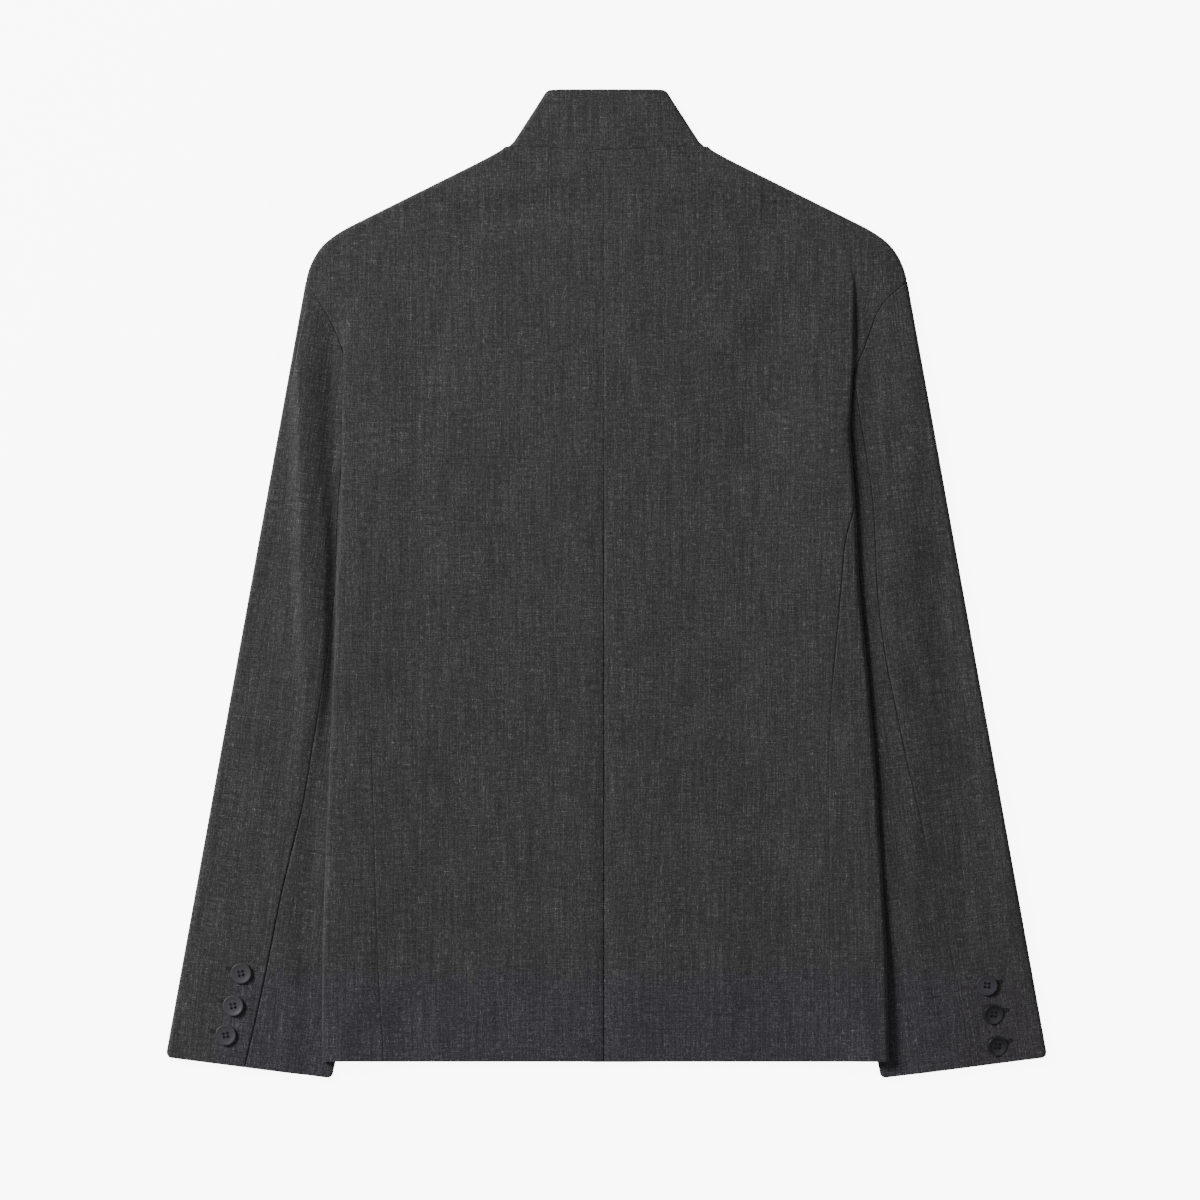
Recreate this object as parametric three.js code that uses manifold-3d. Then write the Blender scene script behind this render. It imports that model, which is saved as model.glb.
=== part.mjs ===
// A stand collar blazer laid flat, face down, with its back and the backs of its sleeves up.
// Millimetres. X runs to the wearer's right, Y towards the collar, Z up from the surface it lies on.
// The origin is below the middle of the garment, on that surface.
import * as THREE from 'three';
import { mergeVertices } from 'three/addons/utils/BufferGeometryUtils.js';
import Module from 'manifold-3d';

const wasm = await Module();
wasm.setup();

// Cloth: every panel is one wall, its outer side shown here and its inner side moved in by WALL
const WALL = 2.0;
const SEAM_GAP = 0.3;
const LEFT = -1;
const RIGHT = 1;

// Heights of the laid panels' outer sides above the surface
const FULL = 6.9;
const SLEEVE_UNDER_BODY = 4.8;
const RETURN_Z = 5.1;
const CREST = 12.5;
const CREST_AT_ARMHOLE = 9.6;
const OVER_SLEEVE = 9.5;
const ROLL = FULL / 2;
const COLLAR_REACH = 4.2;
const HIDDEN_ROLL = SLEEVE_UNDER_BODY / 2;

// Lengths along the garment
const COLLAR_SEAM_SIDE_Y = 336;
const COLLAR_SEAM_BACK_Y = 333;
const COLLAR_TOP_Y = 379.5;
const SHOULDER_END_Y = 232;
const UNDERARM_Y = 102;
const SIDE_PANEL_TOP_Y = 140;
const CUFF_OUTER_Y = -363;
const CUFF_INNER_Y = -379.5;

// The body's fold grows from this height down; the sleeve is pressed low beside it from here too
const FOLD_GROWS_FROM_Y = 252;
const SLEEVE_LOW_LENGTH = 40;
const CREST_GROWS_OVER = 45;
const CREST_WIDTH = 30;
const SHELF_GROWS_OVER = 30;

// Widths, as half widths from the middle of the garment
const CENTRE_X = -1.9;
const NECK_HALF = 75;
const COLLAR_TOP_HALF = 45.6;
const FRONT_NECK_SLOPE = 0.391;
const FRONT_COLLAR_LENGTH = 110;
const FRONT_COLLAR_WAY = { across: 0.364, down: 0.931 };
const FRONT_NECK_Y = 207;
const FRONT_NECK_ROW = 226;
const FRONT_OVERLAP = { left: -8.1, right: -11.9 };
const OVERLAP_LIFT = WALL + SEAM_GAP;
const OVERLAP_RAMP = { from: 34, to: 20 };

// The garment's silhouette from above, the same on both sides: shoulder, then the sleeve's outer edge
const SILHOUETTE = [
  { y: 336, half: 75.8 }, { y: 329, half: 88 }, { y: 325, half: 95.5 }, { y: 271.5, half: 203 },
  { y: 262, half: 216.5 }, { y: 252, half: 224 }, { y: 242, half: 228.5 }, { y: 232, half: 231 },
  { y: 218, half: 233.5 }, { y: -363, half: 338.5 },
];

// Armhole seam, from the end of the shoulder down to the underarm, the lower half hidden by the body
const ARMHOLE = [
  { y: 232, left: 231, right: 231 }, { y: 228.5, left: 228.6, right: 226.5 },
  { y: 218, left: 221.5, right: 214 }, { y: 207, left: 214.5, right: 207 },
  { y: 196, left: 209, right: 203.5 }, { y: 178, left: 202, right: 197 },
  { y: 162, left: 195, right: 189.5 }, { y: 140, left: 181, right: 176 },
  { y: 120, left: 163, right: 162 }, { y: 102, left: 135, right: 135 },
];

// Side fold of the body, which overhangs the sleeve, and where it leaves the armhole seam
const BODY_EDGE = [
  { y: 245, left: 203, right: 190 }, { y: 178, left: 202, right: 189.5 },
  { y: 162, left: 202, right: 189.5 }, { y: 120, left: 203, right: 186.3 },
  { y: 64, left: 203.6, right: 189.8 }, { y: 0, left: 207.4, right: 192.2 },
  { y: -40, left: 207.8, right: 195.9 }, { y: -80, left: 209.9, right: 199.9 },
  { y: -130, left: 212, right: 204.4 }, { y: -200, left: 215.2, right: 208.7 },
  { y: -280, left: 218, right: 213.4 }, { y: -366, left: 218.1, right: 216.6 },
];
const FOLD_START_Y = { left: 178, right: 162 };

// Side seam: its distance from the middle of the fold along the cloth, inwards on the back
const SIDE_SEAM = [
  { y: 120, left: -15, right: -9 }, { y: 102, left: -9, right: -6 }, { y: 84, left: -4, right: -3 },
  { y: 64, left: 1, right: 1 }, { y: 34, left: 12, right: 11.5 }, { y: 0, left: 20.5, right: 15.7 },
  { y: -40, left: 26, right: 23 }, { y: -80, left: 30, right: 30.6 },
  { y: -130, left: 34.5, right: 37.1 }, { y: -200, left: 39.5, right: 41.4 },
  { y: -280, left: 44.5, right: 45.3 }, { y: -366, left: 49, right: 47.7 },
];

// Hidden inner edge of the sleeves, under the body
const SLEEVE_INNER = [
  { y: 102, half: 135 }, { y: 60, half: 129.5 }, { y: 18, half: 128 }, { y: -35, half: 133 },
  { y: -89, half: 143 }, { y: -145, half: 155.5 }, { y: -204, half: 170 }, { y: -290, half: 190 },
  { y: -379.5, half: 211 },
];

// Elbow seam of the sleeves, from the armhole down to the cuff
const ELBOW_SEAM = [
  { y: 162, left: 195, right: 189.5 }, { y: 64, left: 206, right: 205 },
  { y: -10, left: 208.5, right: 208 }, { y: -57, left: 214.5, right: 214 },
  { y: -97, left: 220.5, right: 222.5 }, { y: -143, left: 228.2, right: 232 },
  { y: -171, left: 232.8, right: 239 }, { y: -202, left: 240.7, right: 246 },
  { y: -235, left: 248.8, right: 253.5 }, { y: -282, left: 258, right: 264.5 },
  { y: -317, left: 265, right: 271.5 }, { y: -379.5, left: 279.5, right: 282.5 },
];

// Long soft ridge down each sleeve
const SLEEVE_RIDGE = [
  { y: 160, left: 241, right: 230, rise: 0 }, { y: 125, left: 242, right: 231, rise: 0.7 },
  { y: 80, left: 236, right: 234, rise: 0.6 }, { y: -12, left: 235, right: 239, rise: 0.7 },
  { y: -89, left: 236, right: 246, rise: 0.5 }, { y: -140, left: 240, right: 252, rise: 0 },
];
const RIDGE_WIDTH = 16;

// The sleeve's rise beside the body: where it starts, outwards from the body's edge, and its width
const OPEN_FROM = 8;
const OPEN_WIDTH = 20;

// The back's rise over what lies under it: how far inside that it starts and ends, and how far
// inside the body's edge at most
const RISE_START = { inside: 26, fromEdge: 45 };
const RISE_END = { inside: 6, fromEdge: 16 };
const SUPPORT_PAST_ARMHOLE = 5;
const SUPPORT_PAST_SLEEVE = -3;

// The side panel's lower side reaches this far inside the sleeve and comes down over this width
const UNDER_REACH = 20;
const UNDER_DROP = 17;
const UNDERARM_EASE = 18;

// Rows of the body's panels
const SHOULDER_ROWS = [336, 329, 300, 271.5, 262, 252, 242];
const ARMHOLE_ROWS = ARMHOLE.map((row) => row.y);
const BODY_ROWS = [84, 64, 34, 0, -40, -80, -130, -200, -280, -366];
const SLEEVE_ROWS = 12;

// Four-hole cuff buttons
const BUTTON_RADIUS = 8;
const BUTTON_HEIGHT = 3;
const BUTTON_HOLE_RADIUS = 1.0;
const BUTTON_HOLE_SPACING = 3.1;
const BUTTONS = [
  { side: LEFT, x: -280.2, y: -298.5 }, { side: LEFT, x: -286.2, y: -323.4 },
  { side: LEFT, x: -292, y: -345.8 }, { side: RIGHT, x: 291.7, y: -307.6 },
  { side: RIGHT, x: 296.4, y: -329.7 }, { side: RIGHT, x: 299.4, y: -354 },
];

const CLOTH_COLOUR = 0x3b3b3d;
const BUTTON_COLOUR = 0x46464b;

const mix = THREE.MathUtils.lerp;
const sideName = (side) => (side === LEFT ? 'left' : 'right');

function soft(value) {
  const t = THREE.MathUtils.clamp(value, 0, 1);
  return t * t * (3 - 2 * t);
}

// Reads one column of a table whose rows run down the garment
function readTable(table, column, y) {
  if (y >= table[0].y) {
    return table[0][column];
  }
  for (let i = 1; i < table.length; i += 1) {
    const above = table[i - 1];
    const below = table[i];
    if (y >= below.y) {
      return mix(below[column], above[column], (y - below.y) / (above.y - below.y));
    }
  }
  return table[table.length - 1][column];
}

const silhouette = (y) => readTable(SILHOUETTE, 'half', y);
const armhole = (side, y) => readTable(ARMHOLE, sideName(side), y);
const bodyEdge = (side, y) => readTable(BODY_EDGE, sideName(side), y);
const sleeveInner = (y) => readTable(SLEEVE_INNER, 'half', y);
const foldStart = (side) => FOLD_START_Y[sideName(side)];

// Height of the body's fold along its edge, from nothing at the shoulder to full below the armhole
function crest(side, y) {
  const start = foldStart(side);
  if (y > start) {
    return mix(FULL, CREST_AT_ARMHOLE, soft((FOLD_GROWS_FROM_Y - y) / (FOLD_GROWS_FROM_Y - start)));
  }
  return mix(CREST_AT_ARMHOLE, CREST, soft((start - y) / CREST_GROWS_OVER));
}

const foldRadius = (side, y) => (crest(side, y) - RETURN_Z) / 2;

// The sleeve's upper side: low beside and under the body, full further out, with one soft ridge
function sleeveTop(side, half, y) {
  const dip = (FULL - SLEEVE_UNDER_BODY) * soft((FOLD_GROWS_FROM_Y - y) / SLEEVE_LOW_LENGTH);
  const open = soft((half - bodyEdge(side, y) - OPEN_FROM) / OPEN_WIDTH);
  const ridgeAt = readTable(SLEEVE_RIDGE, sideName(side), y);
  const away = Math.abs(half - ridgeAt) / RIDGE_WIDTH;
  const ridge = readTable(SLEEVE_RIDGE, 'rise', y) * (1 - soft(away)) * open;
  return FULL - dip * (1 - open) + ridge;
}

// Where the back starts and ends its rise from the middle on to what lies under it
function riseOverSleeve(side, y) {
  const edge = bodyEdge(side, y) - foldRadius(side, y);
  const inSleeve = sleeveInner(y) + SUPPORT_PAST_SLEEVE;
  const support = y > UNDERARM_Y ? armhole(side, y) + SUPPORT_PAST_ARMHOLE : inSleeve;
  return {
    from: Math.min(support - RISE_START.inside, edge - RISE_START.fromEdge),
    to: Math.min(support - RISE_END.inside, edge - RISE_END.fromEdge),
  };
}

// The back's upper side as far as the crest of the side fold
function backTop(side, half, y) {
  const edge = bodyEdge(side, y) - foldRadius(side, y);
  const rise = riseOverSleeve(side, y);
  const laid = soft((foldStart(side) + SHELF_GROWS_OVER - y) / SHELF_GROWS_OVER) * (OVER_SLEEVE - FULL);
  const shelf = laid * soft((half - rise.from) / (rise.to - rise.from));
  const fold = (crest(side, y) - FULL - laid) * soft((half - edge + CREST_WIDTH) / CREST_WIDTH);
  return FULL + shelf + fold;
}

// Above the fold's start the cloth falls from the crest to the sleeve's level at the armhole
function backNearArmhole(side, half, y) {
  const radius = foldRadius(side, y);
  const edge = bodyEdge(side, y);
  const strength = soft((FOLD_GROWS_FROM_Y - y) / SLEEVE_LOW_LENGTH);
  const fall = soft((half - edge + radius) / (2 * radius)) * strength;
  return mix(backTop(side, half, y), sleeveTop(side, half, y), fall);
}

// The side panel's lower side: up on the sleeve, then down to the surface inside the sleeve's edge
function frontSeam(side, y) {
  if (y >= UNDERARM_Y) {
    return armhole(side, y);
  }
  return sleeveInner(y) - UNDER_REACH * soft((UNDERARM_Y - y) / UNDERARM_EASE);
}

function underSide(side, half, y) {
  if (y >= UNDERARM_Y) {
    return RETURN_Z;
  }
  return RETURN_Z * soft((half - sleeveInner(y) + UNDER_REACH) / UNDER_DROP);
}

// A place on the body's section below the fold's start, by its distance along the cloth from the
// middle of the fold, inwards on the back above zero and inwards beneath below zero
function onFold(side, y, along) {
  const radius = foldRadius(side, y);
  const centre = bodyEdge(side, y) - radius;
  const quarter = (radius * Math.PI) / 2;
  if (along > quarter) {
    const half = centre - (along - quarter);
    return { half, z: backTop(side, half, y) };
  }
  if (along > -quarter) {
    const turn = along / radius;
    return { half: centre + radius * Math.cos(turn), z: RETURN_Z + radius + radius * Math.sin(turn) };
  }
  const half = centre + along + quarter;
  return { half, z: underSide(side, half, y) };
}

// The same distance for a half width on the back, and for one beneath
function alongBack(side, y, half) {
  const radius = foldRadius(side, y);
  return (radius * Math.PI) / 2 + bodyEdge(side, y) - radius - half;
}

function alongUnder(side, y, half) {
  const radius = foldRadius(side, y);
  const centre = bodyEdge(side, y) - radius;
  if (half < centre) {
    return -(radius * Math.PI) / 2 - (centre - half);
  }
  return -radius * Math.acos(Math.min(1, (half - centre) / radius));
}

function sideSeamAlong(side, y) {
  if (y >= SIDE_PANEL_TOP_Y) {
    return alongUnder(side, y, armhole(side, y) + 1.5);
  }
  return readTable(SIDE_SEAM, sideName(side), y);
}

// Keeps falling stations in order between the first and the last one
function inOrder(stations, first, last) {
  const count = stations.length - 1;
  const step = Math.min(0.8, (first - last) / (count + 1));
  return stations.map((station, k) => {
    const lowered = Math.min(station, first - step * k);
    return Math.max(lowered, last + step * (count - k));
  });
}

// One more station before the first and after the last, for the wall's direction at its ends
function withEnds(stations) {
  const last = stations.length - 1;
  const before = stations[0] + Math.sign(stations[0] - stations[1]) * END_STEP;
  const after = stations[last] + Math.sign(stations[last] - stations[last - 1]) * END_STEP;
  return [before, ...stations, after];
}

const END_STEP = 0.2;
const MOST_ASLANT = 0.69;
const FOLD_TURNS = [90, 60, 30, 0, -30, -60, -90].map((degrees) => THREE.MathUtils.degToRad(degrees));

// The way through the wall at one place, kept upright over the row's own line, so that rows which
// meet at a seam stay on their own sides of it, unless the row runs too aslant to the surface
function throughWall(row, j, out) {
  const heading = row[j + 1].clone().sub(row[j - 1]).setZ(0);
  if (heading.length() < 0.2 * row[j + 1].distanceTo(row[j - 1])) {
    heading.copy(row[j]).sub(row[j - 1]).setZ(0);
  }
  const aside = new THREE.Vector3(-heading.y, heading.x, 0).normalize();
  const inRow = out.clone().addScaledVector(aside, -out.dot(aside)).normalize();
  const square = inRow.dot(out);
  return square < MOST_ASLANT ? out.clone().multiplyScalar(WALL) : inRow.multiplyScalar(WALL / square);
}

// A wall from rows of places on its outer side. Each row has one place more at each end, which only
// gives the direction there. Facing is 1 or -1, so that the outer side looks out of the garment.
function wall(rows, facing) {
  const rowCount = rows.length;
  const columnCount = rows[0].length - 2;
  const outer = [];
  const inner = [];
  for (let i = 0; i < rowCount; i += 1) {
    const above = rows[Math.max(0, i - 1)];
    const below = rows[Math.min(rowCount - 1, i + 1)];
    for (let j = 1; j <= columnCount; j += 1) {
      const down = below[j].clone().sub(above[j]);
      const before = rows[i][j === columnCount ? j : j - 1];
      const after = rows[i][j === 1 ? j : j + 1];
      const out = down.cross(after.clone().sub(before)).normalize().multiplyScalar(facing);
      outer.push(rows[i][j]);
      inner.push(rows[i][j].clone().sub(throughWall(rows[i], j, out)));
    }
  }
  const places = [...outer, ...inner];
  const innerStart = outer.length;
  const faces = [];
  const quad = (a, b, c, d) => {
    faces.push(facing > 0 ? [a, b, c] : [a, c, b]);
    faces.push(facing > 0 ? [a, c, d] : [a, d, c]);
  };
  for (let i = 0; i < rowCount - 1; i += 1) {
    for (let j = 0; j < columnCount - 1; j += 1) {
      const a = i * columnCount + j;
      const c = a + columnCount;
      quad(a, c, c + 1, a + 1);
      quad(innerStart + a, innerStart + a + 1, innerStart + c + 1, innerStart + c);
    }
  }
  // Rims: both sides split each face from its upper outer corner, so that seams lie face to face
  for (let i = 0; i < rowCount - 1; i += 1) {
    const a = i * columnCount;
    const b = a + columnCount;
    quad(a, innerStart + a, innerStart + b, b);
    quad(a + columnCount - 1, b + columnCount - 1, innerStart + b + columnCount - 1, innerStart + b - 1);
  }
  for (let j = 0; j < columnCount - 1; j += 1) {
    const top = j;
    const bottom = (rowCount - 1) * columnCount + j;
    quad(top, top + 1, innerStart + top + 1, innerStart + top);
    quad(bottom, innerStart + bottom, innerStart + bottom + 1, bottom + 1);
  }
  const geometry = new THREE.BufferGeometry();
  const position = places.flatMap((place) => [place.x, place.y, place.z]);
  geometry.setAttribute('position', new THREE.Float32BufferAttribute(position, 3));
  geometry.setIndex(faces.flat());
  geometry.computeVertexNormals();
  return geometry;
}

const blazer = new THREE.Group();

function addPiece(name, geometry, colour, roughness) {
  const material = new THREE.MeshStandardMaterial({ color: colour, roughness, metalness: 0 });
  const mesh = new THREE.Mesh(geometry, material);
  mesh.name = name;
  blazer.add(mesh);
}

function addCloth(name, rows, facing) {
  addPiece(name, wall(rows, facing), CLOTH_COLOUR, 0.9);
}

// How far a roll at the silhouette reaches in from it along a row, and the row's slant to it
function silhouetteSlant(y) {
  const slope = (silhouette(y - 1) - silhouette(y + 1)) / 2;
  return Math.hypot(1, slope);
}

const SHOULDER_TURNS = [90, 60, 30, 2.5, -2.5].map((degrees) => THREE.MathUtils.degToRad(degrees));

// Half widths and heights of the back's row on the shoulder, rolled down at the silhouette
function backShoulderRow(y, centreHalf) {
  const slant = silhouetteSlant(y);
  const rollStart = silhouette(y) - ROLL * slant;
  const shares = [0, 0.2, 0.4, 0.55, 0.68, 0.78, 0.85, 0.9, 0.94, 0.97, 0.99];
  const places = shares.map((share) => ({ half: mix(centreHalf, rollStart, share), z: FULL }));
  const rolled = SHOULDER_TURNS.map((turn) => ({
    half: silhouette(y) - ROLL * (1 - Math.cos(turn)) * slant,
    z: ROLL + ROLL * Math.sin(turn),
  }));
  return [{ half: 2 * centreHalf - places[1].half, z: FULL }, ...places, ...rolled];
}

// The back's row between the shoulder's end and the fold's start, which ends at the armhole
function backArmholeRow(side, y, centreHalf) {
  const end = armhole(side, y);
  const radius = foldRadius(side, y);
  const edge = bodyEdge(side, y) - radius;
  const crestHalf = Math.min(edge, end - 5);
  const fallEnd = Math.min(edge + 2 * radius, end - 1);
  const rise = riseOverSleeve(side, y);
  const inner = [0, 0.4, 0.75, 1].map((share) => mix(centreHalf, Math.min(rise.from, crestHalf - 40), share));
  const shelf = [mix(inner[3], crestHalf, 0.4), mix(inner[3], crestHalf, 0.7)];
  const fall = [0, 1, 2, 3, 4, 5, 6].map((k) => mix(crestHalf, fallEnd, k / 6));
  const halves = withEnds([...inner, ...shelf, ...fall, mix(fallEnd, end, 0.5), end]);
  const places = halves.map((half) => ({ half, z: backNearArmhole(side, half, y) }));
  places[places.length - 1].z = places[places.length - 2].z;
  return places;
}

// The back's row below the fold's start, round the fold and beneath to the armhole or side seam
function backFoldRow(side, y, centreHalf) {
  const radius = foldRadius(side, y);
  const edge = bodyEdge(side, y) - radius;
  const rise = riseOverSleeve(side, y);
  const halves = [centreHalf, mix(centreHalf, rise.from, 0.4), mix(centreHalf, rise.from, 0.75)];
  halves.push(rise.from, rise.to, mix(rise.to, edge, 0.5));
  const first = alongBack(side, y, centreHalf);
  const last = y > SIDE_PANEL_TOP_Y ? alongUnder(side, y, armhole(side, y)) : sideSeamAlong(side, y);
  const quarter = (radius * Math.PI) / 2;
  const stations = halves.map((half) => alongBack(side, y, half));
  stations.push(...FOLD_TURNS.map((turn) => turn * radius));
  stations.push(Math.min(-quarter, mix(-quarter, last, 0.5)), last);
  const ordered = inOrder(stations, first, last);
  return withEnds(ordered).map((along) => onFold(side, y, along));
}

function bodyPlace(side, place, y) {
  return new THREE.Vector3(side * place.half, y, place.z);
}

function addBack(side) {
  const centreHalf = side * CENTRE_X + SEAM_GAP / 2;
  const rows = [...SHOULDER_ROWS, ...ARMHOLE_ROWS, ...BODY_ROWS].map((y) => {
    if (y >= SHOULDER_END_Y) {
      return backShoulderRow(y, centreHalf).map((place, k, list) => {
        const share = k / (list.length - 1);
        const dip = y === COLLAR_SEAM_SIDE_Y ? mix(COLLAR_SEAM_BACK_Y, y, share) - y : 0;
        return bodyPlace(side, place, y + dip);
      });
    }
    const section = y > foldStart(side) ? backArmholeRow : backFoldRow;
    return section(side, y, centreHalf).map((place) => bodyPlace(side, place, y));
  });
  addCloth(`back_${sideName(side)}`, rows, side);
}

// Side panel: from the side seam round the fold and beneath to the hidden front-side seam
function addSidePanel(side) {
  const rows = [...ARMHOLE_ROWS, ...BODY_ROWS].filter((y) => y <= SIDE_PANEL_TOP_Y).map((y) => {
    const radius = foldRadius(side, y);
    const quarter = (radius * Math.PI) / 2;
    const first = sideSeamAlong(side, y) - SEAM_GAP;
    const seam = frontSeam(side, y);
    const last = alongUnder(side, y, seam + (y < UNDERARM_Y ? SEAM_GAP : 0));
    const onSleeve = y < UNDERARM_Y ? sleeveInner(y) + SUPPORT_PAST_SLEEVE : seam + 2;
    const stations = [first, mix(first, quarter, 0.5), ...FOLD_TURNS.map((turn) => turn * radius)];
    stations.push(alongUnder(side, y, onSleeve), alongUnder(side, y, mix(onSleeve, seam, 0.5)), last);
    const ordered = inOrder(stations, first, last);
    return withEnds(ordered).map((along) => bodyPlace(side, onFold(side, y, along), y));
  });
  addCloth(`side_${sideName(side)}`, rows, side);
}

// Inner edge of a front: the collar's neckline, then the centre front
function frontInner(side, y) {
  const closed = FRONT_OVERLAP[sideName(side)];
  const neckTop = NECK_HALF - COLLAR_REACH + 2 * SEAM_GAP;
  const neckAt = (at) => neckTop - FRONT_NECK_SLOPE * (COLLAR_SEAM_SIDE_Y - at);
  if (y >= FRONT_NECK_ROW) {
    return neckAt(y);
  }
  const share = (y - FRONT_NECK_Y) / (FRONT_NECK_ROW - FRONT_NECK_Y);
  return Math.max(closed, mix(closed, neckAt(FRONT_NECK_ROW), share));
}

function addFront(side) {
  const heights = [...SHOULDER_ROWS.slice(1), ...ARMHOLE_ROWS, FRONT_NECK_ROW, ...BODY_ROWS];
  const rows = heights.sort((a, b) => b - a).map((y) => {
    const onShoulder = y >= SHOULDER_END_Y;
    const outer = onShoulder ? silhouette(y) : frontSeam(side, y);
    const slant = onShoulder ? silhouetteSlant(y) : 1;
    const rolled = [...SHOULDER_TURNS].reverse().map((turn) => ({
      half: outer - ROLL * (1 - Math.cos(turn)) * slant,
      z: onShoulder ? ROLL - ROLL * Math.sin(turn) : 0,
    }));
    const inner = frontInner(side, y);
    const start = rolled[4].half;
    const plain = [0.35, 0.7].map((share) => mix(start, OVERLAP_RAMP.from, share));
    const flat = [...plain, OVERLAP_RAMP.from, OVERLAP_RAMP.to, inner];
    const lift = side === RIGHT ? OVERLAP_LIFT : 0;
    const laid = inOrder([start, ...flat], start, inner).slice(1).map((half) => ({
      half,
      z: lift * soft((OVERLAP_RAMP.from - half) / (OVERLAP_RAMP.from - OVERLAP_RAMP.to)),
    }));
    if (!onShoulder) {
      rolled[0].half = outer + END_STEP;
    }
    const after = { half: inner - 1, z: laid[laid.length - 1].z };
    return [...rolled, ...laid, after].map((place) => bodyPlace(side, place, y));
  });
  addCloth(`front_${sideName(side)}`, rows, side);
}

// A place in the sleeve's plan: down is 0 at the armhole and 1 at the cuff, share is 0 at the outer
// edge and 1 at the inner one
function sleevePlan(side, down, share) {
  const outerY = mix(SHOULDER_END_Y, CUFF_OUTER_Y, down);
  const innerY = mix(UNDERARM_Y, CUFF_INNER_Y, down);
  const seamY = mix(SHOULDER_END_Y, UNDERARM_Y, share);
  const straight = mix(armhole(side, SHOULDER_END_Y), armhole(side, UNDERARM_Y), share);
  const bow = (armhole(side, seamY) - straight) * (1 - soft(down / 0.5));
  return { half: mix(silhouette(outerY), sleeveInner(innerY), share) + bow, y: mix(outerY, innerY, share) };
}

// Share of a sleeve's row at which the elbow seam crosses it
function elbowShare(side, down) {
  let low = 0;
  let high = 1;
  for (let k = 0; k < 30; k += 1) {
    const middle = (low + high) / 2;
    const place = sleevePlan(side, down, middle);
    const seam = readTable(ELBOW_SEAM, sideName(side), place.y);
    if (place.half > seam) {
      low = middle;
    } else {
      high = middle;
    }
  }
  return low;
}

const ARMHOLE_SHARES = ARMHOLE.map((row) => (SHOULDER_END_Y - row.y) / (SHOULDER_END_Y - UNDERARM_Y));
const ELBOW_AT_ARMHOLE = ARMHOLE_SHARES[6];
const FOREARM_SHARE = ARMHOLE_SHARES[8];
const BESIDE_ELBOW_SHARE = ELBOW_AT_ARMHOLE + 0.07;

// One row of the sleeve: functions that give a place on its upper side, lower side or rolled edges
function sleeveRow(side, down) {
  const outerEnd = sleevePlan(side, down, 0);
  const innerEnd = sleevePlan(side, down, 1);
  const length = Math.hypot(outerEnd.half - innerEnd.half, outerEnd.y - innerEnd.y);
  const slant = (outerEnd.half - innerEnd.half) / length;
  const place = (share, z) => {
    const plan = sleevePlan(side, down, share);
    return new THREE.Vector3(side * plan.half, plan.y, z);
  };
  return {
    length,
    outerReach: ROLL / (length * Math.min(1, slant + 0.12)),
    innerReach: HIDDEN_ROLL / (length * slant),
    top(share) {
      const plan = sleevePlan(side, down, share);
      return place(share, sleeveTop(side, plan.half, plan.y));
    },
    bottom: (share) => place(share, 0),
    outerRoll(turn) {
      return place(this.outerReach * (1 - Math.cos(turn)), ROLL + ROLL * Math.sin(turn));
    },
    innerRoll(turn) {
      return place(1 - this.innerReach * (1 - Math.cos(turn)), HIDDEN_ROLL + HIDDEN_ROLL * Math.sin(turn));
    },
  };
}

const INNER_TURNS = [-90, -45, 0, 45, 90].map((degrees) => THREE.MathUtils.degToRad(degrees));

function topSleeveRow(side, down) {
  const row = sleeveRow(side, down);
  const halfGap = SEAM_GAP / 2 / row.length;
  const elbow = elbowShare(side, down) - halfGap;
  const upper = ARMHOLE_SHARES.slice(2, 7).reverse().map((share) => (elbow * share) / ELBOW_AT_ARMHOLE);
  const lower = ARMHOLE_SHARES.slice(2, 8);
  const forearm = FOREARM_SHARE - halfGap;
  return [
    row.top(elbow + 0.01),
    ...upper.map((share) => row.top(share)),
    ...FOLD_TURNS.map((turn) => row.outerRoll(turn)),
    ...lower.map((share) => row.bottom(share)),
    row.bottom(forearm),
    row.bottom(forearm + 0.01),
  ];
}

function underSleeveRow(side, down) {
  const row = sleeveRow(side, down);
  const halfGap = SEAM_GAP / 2 / row.length;
  const elbow = elbowShare(side, down) + halfGap;
  const inner = 1 - row.innerReach;
  const forearm = FOREARM_SHARE + halfGap;
  const upper = [...ARMHOLE_SHARES.slice(7, 9).reverse(), BESIDE_ELBOW_SHARE].map((share) => {
    return mix(elbow, 1, (share - ELBOW_AT_ARMHOLE) / (1 - ELBOW_AT_ARMHOLE));
  });
  return [
    row.bottom(forearm - 0.01),
    row.bottom(forearm),
    row.bottom(mix(forearm, inner, 0.6)),
    ...INNER_TURNS.map((turn) => row.innerRoll(turn)),
    ...upper.map((share) => row.top(share)),
    row.top(elbow),
    row.top(elbow - 0.01),
  ];
}

function addSleeve(side) {
  const steps = Array.from({ length: SLEEVE_ROWS + 1 }, (unused, k) => {
    return Math.max(0.0008, k / SLEEVE_ROWS);
  });
  addCloth(`sleeve_top_${sideName(side)}`, steps.map((down) => topSleeveRow(side, down)), side);
  addCloth(`sleeve_under_${sideName(side)}`, steps.map((down) => underSleeveRow(side, down)), side);
}

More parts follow.
